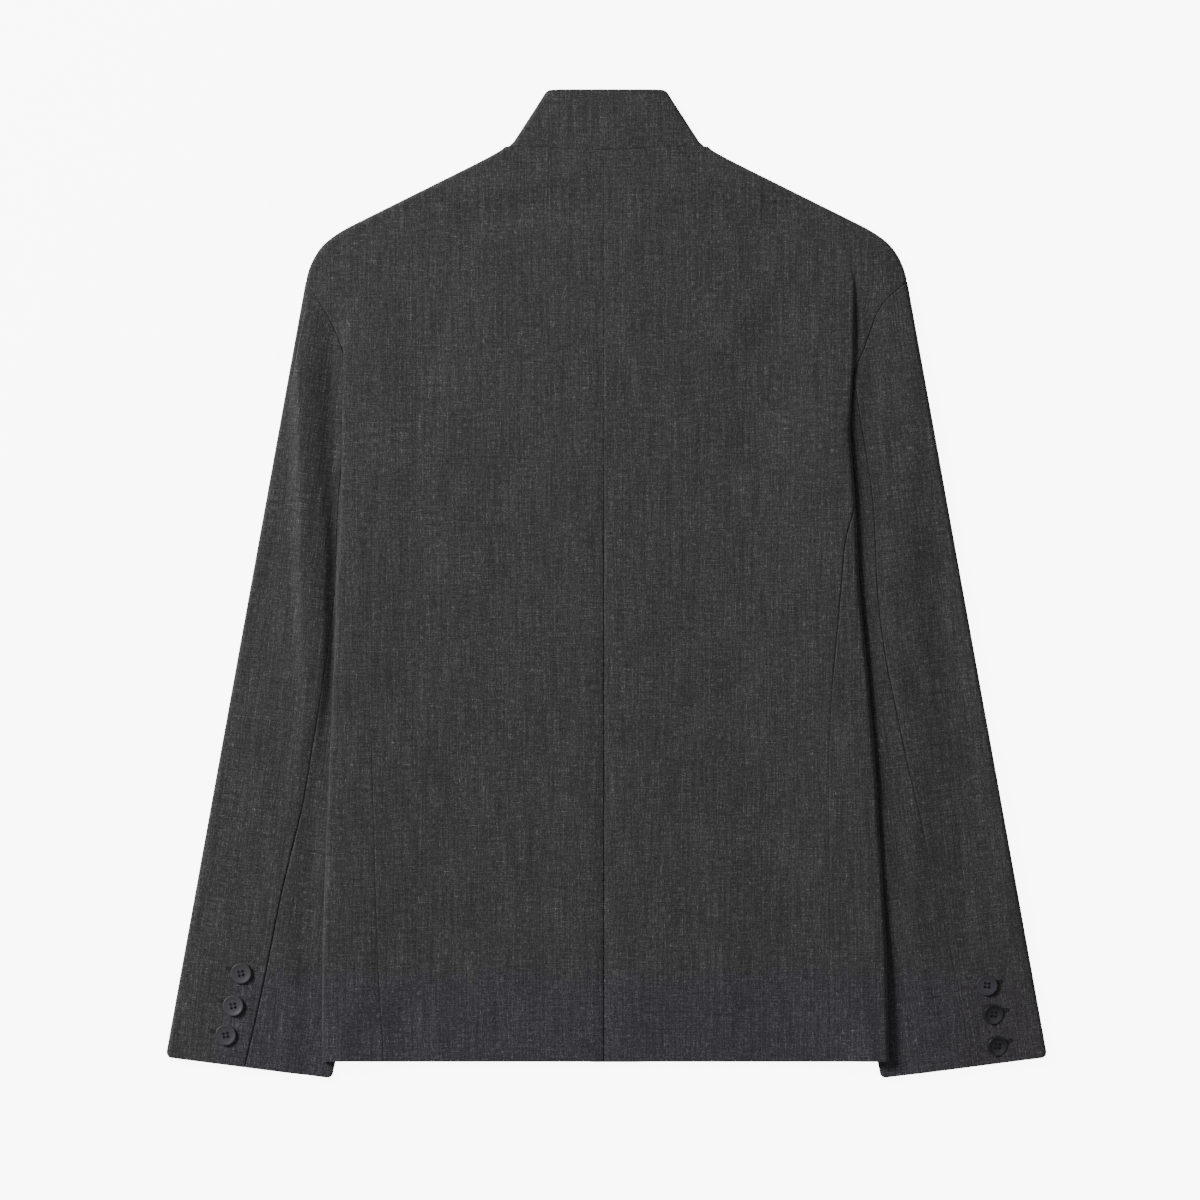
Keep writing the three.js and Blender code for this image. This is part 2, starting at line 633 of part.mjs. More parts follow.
// Stand collar: one band, folded at both sides of the neck, with its front parts beneath
function collarRow(up) {
  const y = mix(COLLAR_SEAM_SIDE_Y + SEAM_GAP, COLLAR_TOP_Y, up);
  const backY = mix(COLLAR_SEAM_BACK_Y + SEAM_GAP, COLLAR_TOP_Y, up);
  const half = mix(NECK_HALF, COLLAR_TOP_HALF, up);
  const frontAt = (side, length) => {
    const across = half - COLLAR_REACH - FRONT_COLLAR_WAY.across * length;
    return new THREE.Vector3(side * across, y - FRONT_COLLAR_WAY.down * length, 0);
  };
  const rollAt = (side, turn) => {
    const z = ROLL + ROLL * Math.sin(turn);
    return new THREE.Vector3(side * (half - COLLAR_REACH * (1 - Math.cos(turn))), y, z);
  };
  const lengths = [FRONT_COLLAR_LENGTH + 5, FRONT_COLLAR_LENGTH, 80, 40, 10];
  const upTurns = [...FOLD_TURNS].reverse();
  const backShares = [-0.66, -0.33, 0, 0.33, 0.66];
  return [
    ...lengths.map((length) => frontAt(LEFT, length)),
    ...upTurns.map((turn) => rollAt(LEFT, turn)),
    ...backShares.map((share) => {
      const place = mix(backY, y, Math.abs(share));
      return new THREE.Vector3(share * (half - COLLAR_REACH), place, FULL);
    }),
    ...FOLD_TURNS.map((turn) => rollAt(RIGHT, turn)),
    ...[...lengths].reverse().map((length) => frontAt(RIGHT, length)),
  ];
}

function addCollar() {
  const rows = [1, 0.92, 0.5, 0].map((up) => collarRow(up));
  addCloth('collar', rows, 1);
}

// A turned disc with a raised rim, and four thread holes cut through it
function toSolid(geometry) {
  const bare = geometry.index ? geometry.toNonIndexed() : geometry;
  bare.deleteAttribute('normal');
  bare.deleteAttribute('uv');
  const merged = mergeVertices(bare, 1e-4);
  const vertProperties = new Float32Array(merged.attributes.position.array);
  const triVerts = new Uint32Array(merged.index.array);
  return new wasm.Manifold(new wasm.Mesh({ numProp: 3, vertProperties, triVerts }));
}

function toGeometry(solid) {
  const mesh = solid.getMesh();
  const geometry = new THREE.BufferGeometry();
  geometry.setAttribute('position', new THREE.BufferAttribute(mesh.vertProperties, 3));
  geometry.setIndex(new THREE.BufferAttribute(mesh.triVerts, 1));
  geometry.computeVertexNormals();
  return geometry;
}

function buttonGeometry() {
  const profile = [[0, 0], [0.8, 0], [1, 0.45], [0.93, 1], [0.72, 0.75], [0, 0.75]];
  const points = profile.map(([radius, height]) => {
    return new THREE.Vector2(radius * BUTTON_RADIUS, height * BUTTON_HEIGHT);
  });
  const turned = new THREE.LatheGeometry(points, 16);
  turned.rotateX(Math.PI / 2);
  let solid = toSolid(turned);
  const offset = BUTTON_HOLE_SPACING / 2;
  for (const [x, y] of [[-1, -1], [1, -1], [1, 1], [-1, 1]]) {
    const hole = new THREE.CylinderGeometry(BUTTON_HOLE_RADIUS, BUTTON_HOLE_RADIUS, 3 * BUTTON_HEIGHT, 6);
    hole.rotateX(Math.PI / 2);
    hole.translate(x * offset, y * offset, 0);
    solid = solid.subtract(toSolid(hole));
  }
  return toGeometry(solid);
}

function addButtons() {
  const counts = { left: 0, right: 0 };
  BUTTONS.forEach((button) => {
    const name = sideName(button.side);
    counts[name] += 1;
    const heights = [-1, 0, 1].map((k) => {
      return sleeveTop(button.side, Math.abs(button.x) + k * BUTTON_RADIUS, button.y);
    });
    const geometry = buttonGeometry();
    geometry.translate(button.x, button.y, Math.max(...heights) + SEAM_GAP);
    addPiece(`button_${name}_${counts[name]}`, geometry, BUTTON_COLOUR, 0.45);
  });
}

for (const side of [LEFT, RIGHT]) {
  addBack(side);
  addSidePanel(side);
  addFront(side);
  addSleeve(side);
}
addCollar();
addButtons();

export default blazer;
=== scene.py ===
import math

import bpy
import numpy as np
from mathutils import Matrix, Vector


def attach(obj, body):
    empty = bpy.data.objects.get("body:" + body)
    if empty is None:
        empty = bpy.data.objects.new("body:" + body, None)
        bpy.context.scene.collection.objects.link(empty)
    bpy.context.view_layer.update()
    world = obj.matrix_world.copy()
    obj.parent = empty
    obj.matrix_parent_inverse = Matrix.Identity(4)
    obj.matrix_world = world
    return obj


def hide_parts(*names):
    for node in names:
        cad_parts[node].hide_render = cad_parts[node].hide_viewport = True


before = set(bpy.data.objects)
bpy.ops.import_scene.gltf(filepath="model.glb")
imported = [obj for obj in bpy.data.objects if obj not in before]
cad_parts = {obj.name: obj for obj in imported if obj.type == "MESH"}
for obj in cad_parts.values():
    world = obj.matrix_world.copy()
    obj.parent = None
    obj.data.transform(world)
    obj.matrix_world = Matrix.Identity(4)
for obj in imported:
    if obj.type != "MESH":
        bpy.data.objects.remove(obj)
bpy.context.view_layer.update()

# A stand collar blazer laid flat on its front. Sizes are in millimetres until a mesh is made.
# X runs to the wearer's right, Y towards the collar, Z up from the surface.
MM = 0.001
SIGN = {"left": -1.0, "right": 1.0}
SIDES = ("left", "right")


def table(names, ease, *rows):
    """A short table with named columns, given from the collar down and kept from the hem up. Ease is
    the distance up and down over which its corners are rounded."""
    values = np.array(rows[::-1], float)
    return {"ease": ease, **{name: values[:, k] for k, name in enumerate(names.split())}}


# Cloth and its laid heights. Pieces pass each other a little at the bottom of a seam's groove.
WALL = 1.5
SEAM_GAP = -0.12
FULL = 6.9
SLEEVE_UNDER_BODY = 4.8
RETURN_Z = 5.1
CREST = 12.5
CREST_AT_ARMHOLE = {"left": 8.5, "right": 9.6}
OVER_SLEEVE = 9.5
ROLL = FULL / 2
HIDDEN_ROLL = SLEEVE_UNDER_BODY / 2
COLLAR_REACH = 4.2
COLLAR_HOLLOW = 1.4

# Lengths along the garment
COLLAR_SEAM_SIDE_Y = 336.0
COLLAR_SEAM_BACK_Y = 333.0
COLLAR_TOP_Y = 379.5
FOLD_GROWS_FROM = {"left": 238.0, "right": 252.0}
SHOULDER_END_Y = 232.0
SIDE_PANEL_TOP_Y = 140.0
UNDERARM_Y = 102.0
HEM_Y = -366.0
CUFF_OUTER_Y = -363.0
CUFF_INNER_Y = -379.5
SLEEVE_LOW_FROM = {"left": 230.0, "right": 252.0}
SLEEVE_LOW_LENGTH = {"left": 48.0, "right": 40.0}
CREST_GROWS_FROM = {"left": 105.0, "right": 162.0}
CREST_GROWS_OVER = {"left": 85.0, "right": 60.0}
CREST_AT_HEM = {"left": 10.8, "right": 12.5}
CREST_WIDTH = 66.0
SHELF_GROWS_OVER = 30.0
FOLD_START_Y = {"left": 178.0, "right": 162.0}

# Half widths
CENTRE_X = -1.9
NECK_HALF = 75.0
COLLAR_TOP_HALF = 45.6
FRONT_NECK_SLOPE = 0.391
FRONT_COLLAR_LENGTH = 110.0
FRONT_COLLAR_ACROSS = 0.364
FRONT_COLLAR_DOWN = 0.931
FRONT_NECK_Y = 207.0
FRONT_NECK_ROW = 226.0
FRONT_OVERLAP = {"left": -8.1, "right": -11.9}
OVERLAP_LIFT = 2.3
OVERLAP_FROM = 34.0
OVERLAP_TO = 20.0

SILHOUETTE = table(
    "y half", 4.0, (336, 75.8), (329, 88), (325, 95.5), (271.5, 203), (262, 216.5), (252, 224),
    (242, 228.5), (232, 231), (218, 233.5), (-363, 338.5),
)
ARMHOLE = table(
    "y left right", 3.0, (238, 235.1, 238.7), (232, 231, 231), (228.5, 228.6, 226.5), (218, 221.5, 214),
    (207, 214.5, 207), (196, 209, 203.5), (178, 202, 197), (162, 195, 189.5), (140, 181, 176),
    (120, 163, 162), (102, 135, 135), (94, 122.6, 123),
)
BODY_EDGE = table(
    "y left right", 12.0, (245, 203, 190), (178, 202, 189.5), (162, 202, 189.5), (120, 203, 186.3),
    (64, 203.6, 190.9), (0, 207.4, 193.7), (-40, 207.8, 197.4), (-80, 209.9, 201.3),
    (-130, 212, 205.6), (-200, 215.2, 209.9), (-280, 218, 214.6), (-366, 218.1, 216.6),
)
SIDE_SEAM = table(
    "y left right", 10.0, (120, -15, -9), (102, -9, -6), (84, -4, -3), (64, 1, 1), (34, 12, 11.5),
    (0, 20.5, 15.7), (-40, 26, 23), (-80, 30, 30.6), (-130, 34.5, 37.1), (-200, 39.5, 41.4),
    (-280, 44.5, 45.3), (-366, 49, 47.7),
)
SLEEVE_INNER = table(
    "y half", 8.0, (102, 135), (60, 129.5), (18, 128), (-35, 133), (-89, 143), (-145, 155.5),
    (-204, 170), (-290, 190), (-379.5, 211),
)
ELBOW_SEAM = table(
    "y left right", 14.0, (162, 195, 189.5), (64, 206, 205), (-10, 208.5, 208), (-57, 214.5, 214),
    (-97, 220.5, 222.5), (-143, 228.2, 232), (-171, 232.8, 239), (-202, 240.7, 246),
    (-235, 248.8, 253.5), (-282, 258, 264.5), (-317, 265, 271.5), (-379.5, 279.5, 282.5),
)

# The long soft ridge down each sleeve: where it lies and how far it stands up
SLEEVE_RIDGE = table(
    "y left right left_rise right_rise", 14.0, (235, 232, 236, 0, 0), (205, 235, 234, 1.1, 0.2),
    (170, 235.5, 232, 4.9, 0.7), (120, 235, 232, 6.0, 0.8), (70, 234.5, 234, 5.7, 0.8),
    (10, 233.5, 236, 4.4, 0.8), (-50, 231.5, 240, 3.2, 0.8), (-100, 231, 248, 1.9, 0.5),
    (-150, 234, 252, 0.6, 0), (-190, 238, 252, 0, 0),
)
RIDGE_OUTWARD = {"left": 9.8, "right": 15.0}
RIDGE_INWARD = {"left": 28.0, "right": 15.0}

# The gutter between a sleeve and the body's edge: where it lies and how deep it is
SLEEVE_GUTTER = table(
    "y left right left_depth right_depth", 14.0, (228, 216, 203, 0, 0), (190, 217, 199, 0.2, 0),
    (140, 213, 196, 0.1, 0), (70, 209, 194, 0.6, 0.2), (20, 210, 195, 1.7, 0.2),
    (-60, 211, 200, 1.7, 0.2), (-110, 214, 205, 1.2, 0.2), (-200, 218, 211, 0, 0.2),
    (-366, 222, 219, 0, 0.8),
)
GUTTER_WIDTH = 5.0

# How far out of the body's edge a sleeve starts to rise to its full height, and over what width
SLEEVE_OPENING = table(
    "y left left_over right right_over", 14.0, (220, 8, 20, 8, 20), (170, 4, 18, 8, 20),
    (70, 3, 17, 8, 20), (30, 1, 9, 8, 20), (-90, 1, 9, 8, 20), (-140, 8, 20, 8, 20),
)

# The sleeve's swell against the body's edge
SLEEVE_SWELL = table(
    "y left right", 14.0, (205, 0, 0), (175, 0.3, 1.2), (110, 0.3, 2.6), (75, 0.2, 2.8), (30, 0, 2.3),
    (-40, 0, 1.7), (-110, 0.3, 2.2), (-230, 1.0, 2.4), (-285, 0.6, 1.2), (-366, 0, 0.3),
)
SWELL_STARTS = {"left": 5.0, "right": 1.0}
SWELL_GROWS = 2.4
SWELL_FADES = {"left": 12.0, "right": 20.0}

# The back's rise over the sleeve beneath, and the side panel's way down inside the sleeve
RISE_START_INSIDE = 56.0
RISE_START_FROM_EDGE = 72.0
RISE_END_INSIDE = -4.0
RISE_END_FROM_EDGE = 12.0
SUPPORT_PAST_ARMHOLE = 5.0
SUPPORT_PAST_SLEEVE = -3.0
UNDER_REACH = 20.0
UNDER_DROP = 17.0
UNDERARM_EASE = 18.0

# The step beside the armhole, before the fold starts: its half width, and how long it stays sharp
STEP_REACH = {"left": 8.0, "right": 1.7}
STEP_SHARP = {"left": (178.0, 200.0), "right": (206.0, 246.0)}

# Seams: how deep each is pressed in, read down the garment
CENTRE_SEAM_DEPTH = table(
    "y left right", 15.0, (333, 0.3, 0.3), (100, 0.35, 0.35), (60, 0.9, 0.9), (-366, 1.3, 1.3),
)
SIDE_SEAM_DEPTH = table(
    "y left right", 15.0, (232, 0.2, 0.5), (210, 0.2, 0.6), (196, 0.7, 0.9), (180, 0.9, 1.0),
    (150, 0.6, 1.0), (80, 0.25, 1.2), (20, 0.2, 1.1), (-80, 0.25, 0.7), (-120, 0.35, 0.35),
    (-366, 0.5, 0.35),
)
ELBOW_SEAM_DEPTH = table(
    "y left right", 12.0, (232, 1.0, 1.0), (100, 0.9, 0.6), (20, 0.5, 0.9), (-50, 0.4, 0.9),
    (-110, 0.6, 1.1), (-150, 1.3, 0.8), (-200, 1.9, 0.35), (-379.5, 1.9, 0.4),
)
SEAM_WIDTH = 1.7
SIDE_DIP = 0.25  # share of a seam's dip that is left on a side wall

# Soft creases, from one end to the other. Height is above zero for a ridge, below for a trough.
CREASE = "x0 y0 x1 y1 width height".split()
BACK_CREASES = [
    (-122, 275, -4, 292, 12, -1.5), (-112, 299, -6, 317, 11, 1.9), (42, 292, 138, 270, 12, -1.3),
    (46, 318, 128, 297, 11, 1.6), (-144, 245, -138, -100, 21, -1.1), (-60, 130, -56, -120, 26, 0.8),
    (121, 225, 114, -40, 21, -1.1), (78, -130, 100, -330, 18, 0.9), (-150, -190, -158, -330, 15, 0.8),
    (104, -40, 98, -92, 12, -1.0), (40, 60, 30, -200, 26, 0.35), (-105, -150, -112, -300, 18, 0.3),
    (-160, -240, -158, -360, 15, -0.35), (82, -250, 96, -360, 16, -0.35), (20, -260, 24, -350, 20, 0.25),
    (172, -166, 178, -222, 5, 0.3), (-186, 100, -190, -60, 7, 0.25), (165, 232, 176, 120, 10, 0.3),
    (-196, 150, -197, 60, 3, 0.25),
]
SLEEVE_CREASES = {
    "left": [
        (-247, 60, -262, -80, 12, -0.5), (-258, -70, -280, -200, 14, 0.5), (-272, -90, -300, -240, 9, -0.3),
        (-245, -180, -262, -290, 12, 0.35), (-300, -210, -318, -330, 12, 0.3),
        (-226, -200, -232, -350, 9, 0.3),
    ],
    "right": [
        (216, 90, 232, -300, 20, 1.7), (260, 100, 277, -310, 19, -1.4), (269, -175, 277, -226, 4, -0.7),
        (277, -226, 276, -290, 4, -0.7), (273, -182, 284, -250, 5, 0.45), (240, 40, 262, -90, 13, -0.6),
        (228, 110, 250, 10, 11, 0.5), (262, -140, 240, -250, 14, -0.5), (295, -110, 312, -260, 13, 0.5),
        (232, -230, 244, -340, 9, 0.35), (305, -250, 318, -340, 10, 0.25), (236, 205, 331, -345, 13, 1.3),
    ],
}

# Four-hole cuff buttons: place, their tilt about X and Y in degrees, and their finish, which on the right
# cuff is darker as painted shade
BUTTON_RADIUS = 7.9
BUTTONS = {
    "button_left_1": (-280.2, -298.5, 1.5, -2.0, "grey"),
    "button_left_2": (-286.2, -323.4, -1.5, -3.0, "grey"),
    "button_left_3": (-292.0, -345.8, 1.0, 2.0, "grey"),
    "button_right_1": (291.7, -307.6, 2.0, 2.0, "violet"),
    "button_right_2": (296.4, -329.7, 8.0, 14.0, "dark"),
    "button_right_3": (299.4, -354.0, 9.0, 15.0, "dark"),
}

# Cuff buttonholes reach past their buttons: way and length from the button's middle
BUTTONHOLES = {
    "button_left_1": (-11.6, 4.4), "button_left_2": (-10.6, 4.2), "button_left_3": (-11.6, 3.2),
    "button_right_1": (10.6, 3.0), "button_right_2": (10.9, 3.4), "button_right_3": (10.8, 4.4),
}

# Rows of hand stitches at the cuff vents: from, to and how many
STITCH_ROWS = {
    "vent_stitches_right": (275.6, -314.0, 284.9, -364.0, 12),
    "vent_stitches_left": (-272.0, -310.5, -279.5, -340.0, 6),
}


def soft(value):
    """A smooth step from 0 to 1."""
    t = np.clip(value, 0.0, 1.0)
    return t * t * (3.0 - 2.0 * t)


def mix(low, high, share):
    return low + (high - low) * share


def side_by_side(*parts):
    return np.concatenate(parts, axis=1)


def grid(*values):
    """A grid of points from their coordinates, each given in full or as one column or row."""
    return np.stack(np.broadcast_arrays(*values), axis=2)


def read(rows, column, y):
    """One column at y, averaged over the table's ease on both sides."""
    shifts = np.linspace(-rows["ease"], rows["ease"], 7)
    return sum(np.interp(y + shift, rows["y"], rows[column]) for shift in shifts) / len(shifts)


def silhouette(y):
    return read(SILHOUETTE, "half", y)


def armhole(side, y):
    return read(ARMHOLE, side, y)


def body_edge(side, y):
    return read(BODY_EDGE, side, y)


def sleeve_inner(y):
    return read(SLEEVE_INNER, "half", y)


def crest(side, y):
    """Height of the body's side fold, from nothing at the shoulder to full below the armhole."""
    start = FOLD_START_Y[side]
    at_armhole = CREST_AT_ARMHOLE[side]
    grows_from = FOLD_GROWS_FROM[side]
    above = mix(FULL, at_armhole, soft((grows_from - y) / (grows_from - start)))
    full = mix(CREST, CREST_AT_HEM[side], soft((-290 - y) / 76))
    below = mix(at_armhole, full, soft((CREST_GROWS_FROM[side] - y) / CREST_GROWS_OVER[side]))
    return np.where(y > start, above, below)


def fold_radius(side, y):
    return (crest(side, y) - RETURN_Z) / 2


def fold_reach(side, y):
    """Half width of the side fold or, above its start, of the step beside the armhole."""
    start = FOLD_START_Y[side]
    at_start = (CREST_AT_ARMHOLE[side] - RETURN_Z) / 2
    step = mix(at_start, STEP_REACH[side], soft((y - start) / 24))
    return np.where(y > start, step, fold_radius(side, y))


def fold_centre(side, y):
    return body_edge(side, y) - fold_reach(side, y)


def sleeve_top(side, half, y):
    """The sleeve's upper side: low beside and under the body, full further out, with a soft ridge."""
    edge = body_edge(side, y)
    dip = (FULL - SLEEVE_UNDER_BODY) * soft((SLEEVE_LOW_FROM[side] - y) / SLEEVE_LOW_LENGTH[side])
    past_edge = half - edge
    opens_over = read(SLEEVE_OPENING, side + "_over", y)
    opened = soft((past_edge - read(SLEEVE_OPENING, side, y)) / opens_over)
    outward = half - read(SLEEVE_RIDGE, side, y)
    away = np.where(outward > 0, outward / RIDGE_OUTWARD[side], -outward / RIDGE_INWARD[side])
    rise = read(SLEEVE_RIDGE, side + "_rise", y) * (1 - soft(away)) * soft(past_edge / 4)
    into = (half - read(SLEEVE_GUTTER, side, y)) / GUTTER_WIDTH
    gutter = read(SLEEVE_GUTTER, side + "_depth", y) * np.exp(-(into**2)) * soft((past_edge + 4) / 6)
    beside = soft((past_edge + SWELL_STARTS[side]) / SWELL_GROWS)
    swell = read(SLEEVE_SWELL, side, y) * beside * (1 - soft((past_edge - 1) / SWELL_FADES[side]))
    return FULL - dip * (1 - opened) + rise - gutter + swell


def roll_down(half, outer, slant=1.0):
    """How far a surface has dropped where it starts to roll round an outer edge."""
    into = np.clip((half - outer + ROLL * slant) / (ROLL * slant), 0.0, 1.0)
    return ROLL * (1 - np.sqrt(np.maximum(0.0, 1 - into * into)))


def rise_over_sleeve(side, y):
    edge = body_edge(side, y) - fold_radius(side, y)
    support = np.where(
        y > UNDERARM_Y, armhole(side, y) + SUPPORT_PAST_ARMHOLE, sleeve_inner(y) + SUPPORT_PAST_SLEEVE
    )
    start = np.minimum(support - RISE_START_INSIDE, edge - RISE_START_FROM_EDGE)
    return start, np.minimum(support - RISE_END_INSIDE, edge - RISE_END_FROM_EDGE)


def back_top(side, half, y):
    """The back's upper side as far as the crest of the side fold."""
    start, end = rise_over_sleeve(side, y)
    laid = soft((FOLD_START_Y[side] + SHELF_GROWS_OVER - y) / SHELF_GROWS_OVER) * (OVER_SLEEVE - FULL)
    shelf = laid * soft((half - start) / (end - start))
    grown = soft((half - fold_centre(side, y) + CREST_WIDTH) / CREST_WIDTH)
    return FULL + shelf + (crest(side, y) - FULL - laid) * grown


def front_seam(side, y):
    reach = UNDER_REACH * soft((UNDERARM_Y - y) / UNDERARM_EASE)
    return np.where(y >= UNDERARM_Y, armhole(side, y), sleeve_inner(y) - reach)


def under_side(side, half, y):
    """The body's lower side: up on the sleeve, then down to the surface inside the sleeve's edge."""
    laid = RETURN_Z * soft((half - sleeve_inner(y) + UNDER_REACH) / UNDER_DROP)
    return np.where(y >= UNDERARM_Y, RETURN_Z, laid)


def fold_quarter(side, y):
    return (fold_radius(side, y) + fold_reach(side, y)) * math.pi / 4


def on_body(side, y, along):
    """Half width and height by distance along the cloth from the middle of the fold: inwards on the
    back above zero; below zero, inwards beneath, or outwards to the armhole above the fold's start."""
    reach = fold_reach(side, y)
    centre = fold_centre(side, y)
    quarter = fold_quarter(side, y)
    above_start = y > FOLD_START_Y[side]
    turn = np.clip(along / quarter, -1.0, 1.0) * math.pi / 2
    share = 0.5 - turn / math.pi
    low = np.where(above_start, sleeve_top(side, centre + 2 * reach, y), RETURN_Z)
    top = crest(side, y)
    round_half = centre + reach * np.cos(turn)
    step_half = np.where(turn >= 0, round_half, centre + reach * (2 - np.cos(turn)))
    sharp_from, sharp_to = STEP_SHARP[side]
    sharp = 1 - soft((y - sharp_from) / (sharp_to - sharp_from))
    step_half = mix(centre + 2 * reach * share, step_half, sharp)
    half = np.where(above_start, step_half, round_half)
    z = (top + low) / 2 + (top - low) / 2 * np.sin(turn)
    on_top = along > quarter
    half = np.where(on_top, centre - (along - quarter), half)
    z = np.where(on_top, back_top(side, half, y), z)
    past = along < -quarter
    outwards = centre + 2 * reach - along - quarter
    inwards = centre + along + quarter
    half = np.where(past, np.where(above_start, outwards, inwards), half)
    beyond = np.where(above_start, sleeve_top(side, half, y), under_side(side, half, y))
    z = np.where(past, beyond, z)
    return half, z - np.where(above_start, roll_down(half, silhouette(y)), 0.0)


def along_back(side, y, half):
    return fold_quarter(side, y) + fold_centre(side, y) - half


def along_under(side, y, half):
    """Distance along the cloth for a half width past the middle of the fold, on either kind of row."""
    reach = fold_reach(side, y)
    centre = fold_centre(side, y)
    quarter = fold_quarter(side, y)
    inside = np.where(half < centre, -quarter - (centre - half), 0.0)
    turned = -quarter * np.arccos(np.clip((half - centre) / reach, 0.0, 1.0)) * 2 / math.pi
    beneath = np.where(half < centre, inside, turned)
    outside = np.where(half > centre + 2 * reach, -quarter - (half - centre - 2 * reach), 0.0)
    stepped = -quarter * np.arccos(np.clip(2 - (half - centre) / reach, 0.0, 1.0)) * 2 / math.pi
    beside = np.where(half > centre + 2 * reach, outside, stepped)
    return np.where(y > FOLD_START_Y[side], beside, beneath)


def side_seam_along(side, y):
    low = read(SIDE_SEAM, side, y)
    high = along_under(side, y, armhole(side, y))
    return mix(low, high, soft((y - 118) / (SIDE_PANEL_TOP_Y - 118)))


def in_order(stations, first, last):
    """Each row's stations from first down to last, in falling order and some distance apart."""
    stations = -np.sort(-np.clip(stations, last, first), axis=1)
    count = stations.shape[1] - 1
    step = np.minimum(0.5, (first - last) / (count + 1))
    k = np.arange(count + 1)[None, :]
    return np.maximum(np.minimum(stations, first - step * k), last + step * (count - k))


def spread(count):
    """Shares from 0 up to, but not with, 1."""
    return np.arange(count) / count


# Distances from a seam at which a panel has its last columns or rows
SEAM_STATIONS = np.array([0.0, 0.35, 0.75, 1.2, 1.7, 2.3, 3.2, 4.6])


def rows_between(top, bottom, step):
    """Heights of a panel's rows, fine at both ends."""
    inner = np.linspace(top - 7, bottom + 7, int((top - bottom - 14) / step))
    return np.concatenate([top - SEAM_STATIONS, inner, (bottom + SEAM_STATIONS)[::-1]])[:, None]


def normals_of(places, facing):
    down = np.gradient(places, axis=0)
    across = np.gradient(places, axis=1)
    out = np.cross(down, across) * facing
    return out / np.maximum(1e-9, np.linalg.norm(out, axis=2, keepdims=True))


def distance_along(places, axis):
    steps = np.linalg.norm(np.diff(places, axis=axis), axis=2)
    start = np.zeros_like(np.take(steps, [0], axis=axis))
    return np.concatenate([start, np.cumsum(steps, axis=axis)], axis=axis)


def pressed(distance, depth, width=SEAM_WIDTH):
    """The cloth's dip towards a pressed seam: it rolls over into the groove."""
    into = np.clip(1 - distance / width, 0.0, 1.0)
    return depth * (1 - np.sqrt(1 - into * into))


def crease_height(places, creases):
    """Height that soft ridges and troughs add at each place, tapering towards their ends."""
    height = np.zeros(places.shape[:2])
    for row in creases:
        crease = dict(zip(CREASE, row))
        start = np.array([crease["x0"], crease["y0"]])
        way = np.array([crease["x1"], crease["y1"]]) - start
        length = np.linalg.norm(way)
        offset = places[:, :, :2] - start
        share = (offset @ way) / length**2
        aside = (offset[:, :, 0] * way[1] - offset[:, :, 1] * way[0]) / length
        wander = 0.18 * crease["width"] * np.sin(share * 9.0 + crease["x0"])
        taper = soft(share / 0.25 + 0.3) * soft((1 - share) / 0.25 + 0.3)
        height += crease["height"] * taper * np.exp(-(((aside + wander) / crease["width"]) ** 2))
    return height


# Long shallow waves of cloth that lies by its own weight: wave lengths in X and Y, phase, height
WAVES = (
    (170, 260, 0.4, 0.16), (96, 410, 2.1, 0.13), (58, 190, 4.0, 0.09), (230, 118, 1.3, 0.1),
    (37, 150, 5.2, 0.05),
)


def wave_height(places):
    x = places[:, :, 0]
    y = places[:, :, 1]
    return sum(
        height * np.sin(x * 2 * math.pi / along_x + phase + 0.8 * np.sin(y * 2 * math.pi / along_y))
        for along_x, along_y, phase, height in WAVES
    )


# Where each piece was cut from the cloth, so that no two show the same stretch of it
CLOTH_SHIFT = {
    "back": (0.0, 0.0), "side": (31.0, 17.0), "front": (240.0, -90.0), "sleeve_top": (83.0, 83.0),
    "sleeve_under": (211.0, 211.0), "collar": (57.0, 405.0),
}
SMOOTH_BELOW = math.radians(50)


def new_object(name, data):
    made = bpy.data.objects.new(name, data)
    bpy.context.scene.collection.objects.link(made)
    return made


def make_active(piece, *others):
    """Selects these pieces alone, the first as the active one."""
    bpy.ops.object.select_all(action="DESELECT")
    for selected in (piece, *others):
        selected.select_set(True)
    bpy.context.view_layer.objects.active = piece


def apply_modifier(piece, kind, **settings):
    make_active(piece)
    modifier = piece.modifiers.new(kind.lower(), kind)
    for name, value in settings.items():
        setattr(modifier, name, value)
    bpy.ops.object.modifier_apply(modifier=modifier.name)


def add_shell(part, side, places, pattern, dips, creases=()):
    """A thin cloth shell from a grid of places on its outer side. Dips is how far each place is
    pressed in, pattern its place on the piece before it was sewn, in millimetres."""
    facing = SIGN.get(side, 1.0)
    out = normals_of(places, facing)
    upward = np.clip(out[:, :, 2], 0.0, 1.0) ** 2
    lift = (crease_height(places, creases) + wave_height(places)) * upward if len(creases) else 0.0
    kept = SIDE_DIP + (1 - SIDE_DIP) * np.abs(out[:, :, 2])
    shaped = places + out * (lift - dips * kept)[:, :, None]
    row_count, column_count = shaped.shape[:2]
    first = (np.arange(row_count - 1)[:, None] * column_count + np.arange(column_count - 1)).ravel()
    corners = [first, first + column_count, first + column_count + 1, first + 1]
    faces = np.stack(corners if facing > 0 else corners[::-1], axis=1)
    name = f"blazer_{part}_{side}" if side else f"blazer_{part}"
    mesh = bpy.data.meshes.new(name)
    mesh.from_pydata((shaped.reshape(-1, 3) * MM).tolist(), [], faces.tolist())
    on_cloth = (pattern + CLOTH_SHIFT[part]).reshape(-1, 2)
    mesh.uv_layers.new(name="cloth").data.foreach_set("uv", (on_cloth[faces.ravel()] * MM).ravel())
    mesh.update()
    piece = new_object(name, mesh)
    apply_modifier(piece, "SOLIDIFY", thickness=WALL * MM, offset=-1.0)
    bpy.ops.object.shade_smooth_by_angle(angle=SMOOTH_BELOW)
    return piece


def shoulder_slant(y):
    """Length of the shoulder's outline for each step along Y."""
    return np.hypot(1.0, (silhouette(y - 1) - silhouette(y + 1)) / 2)


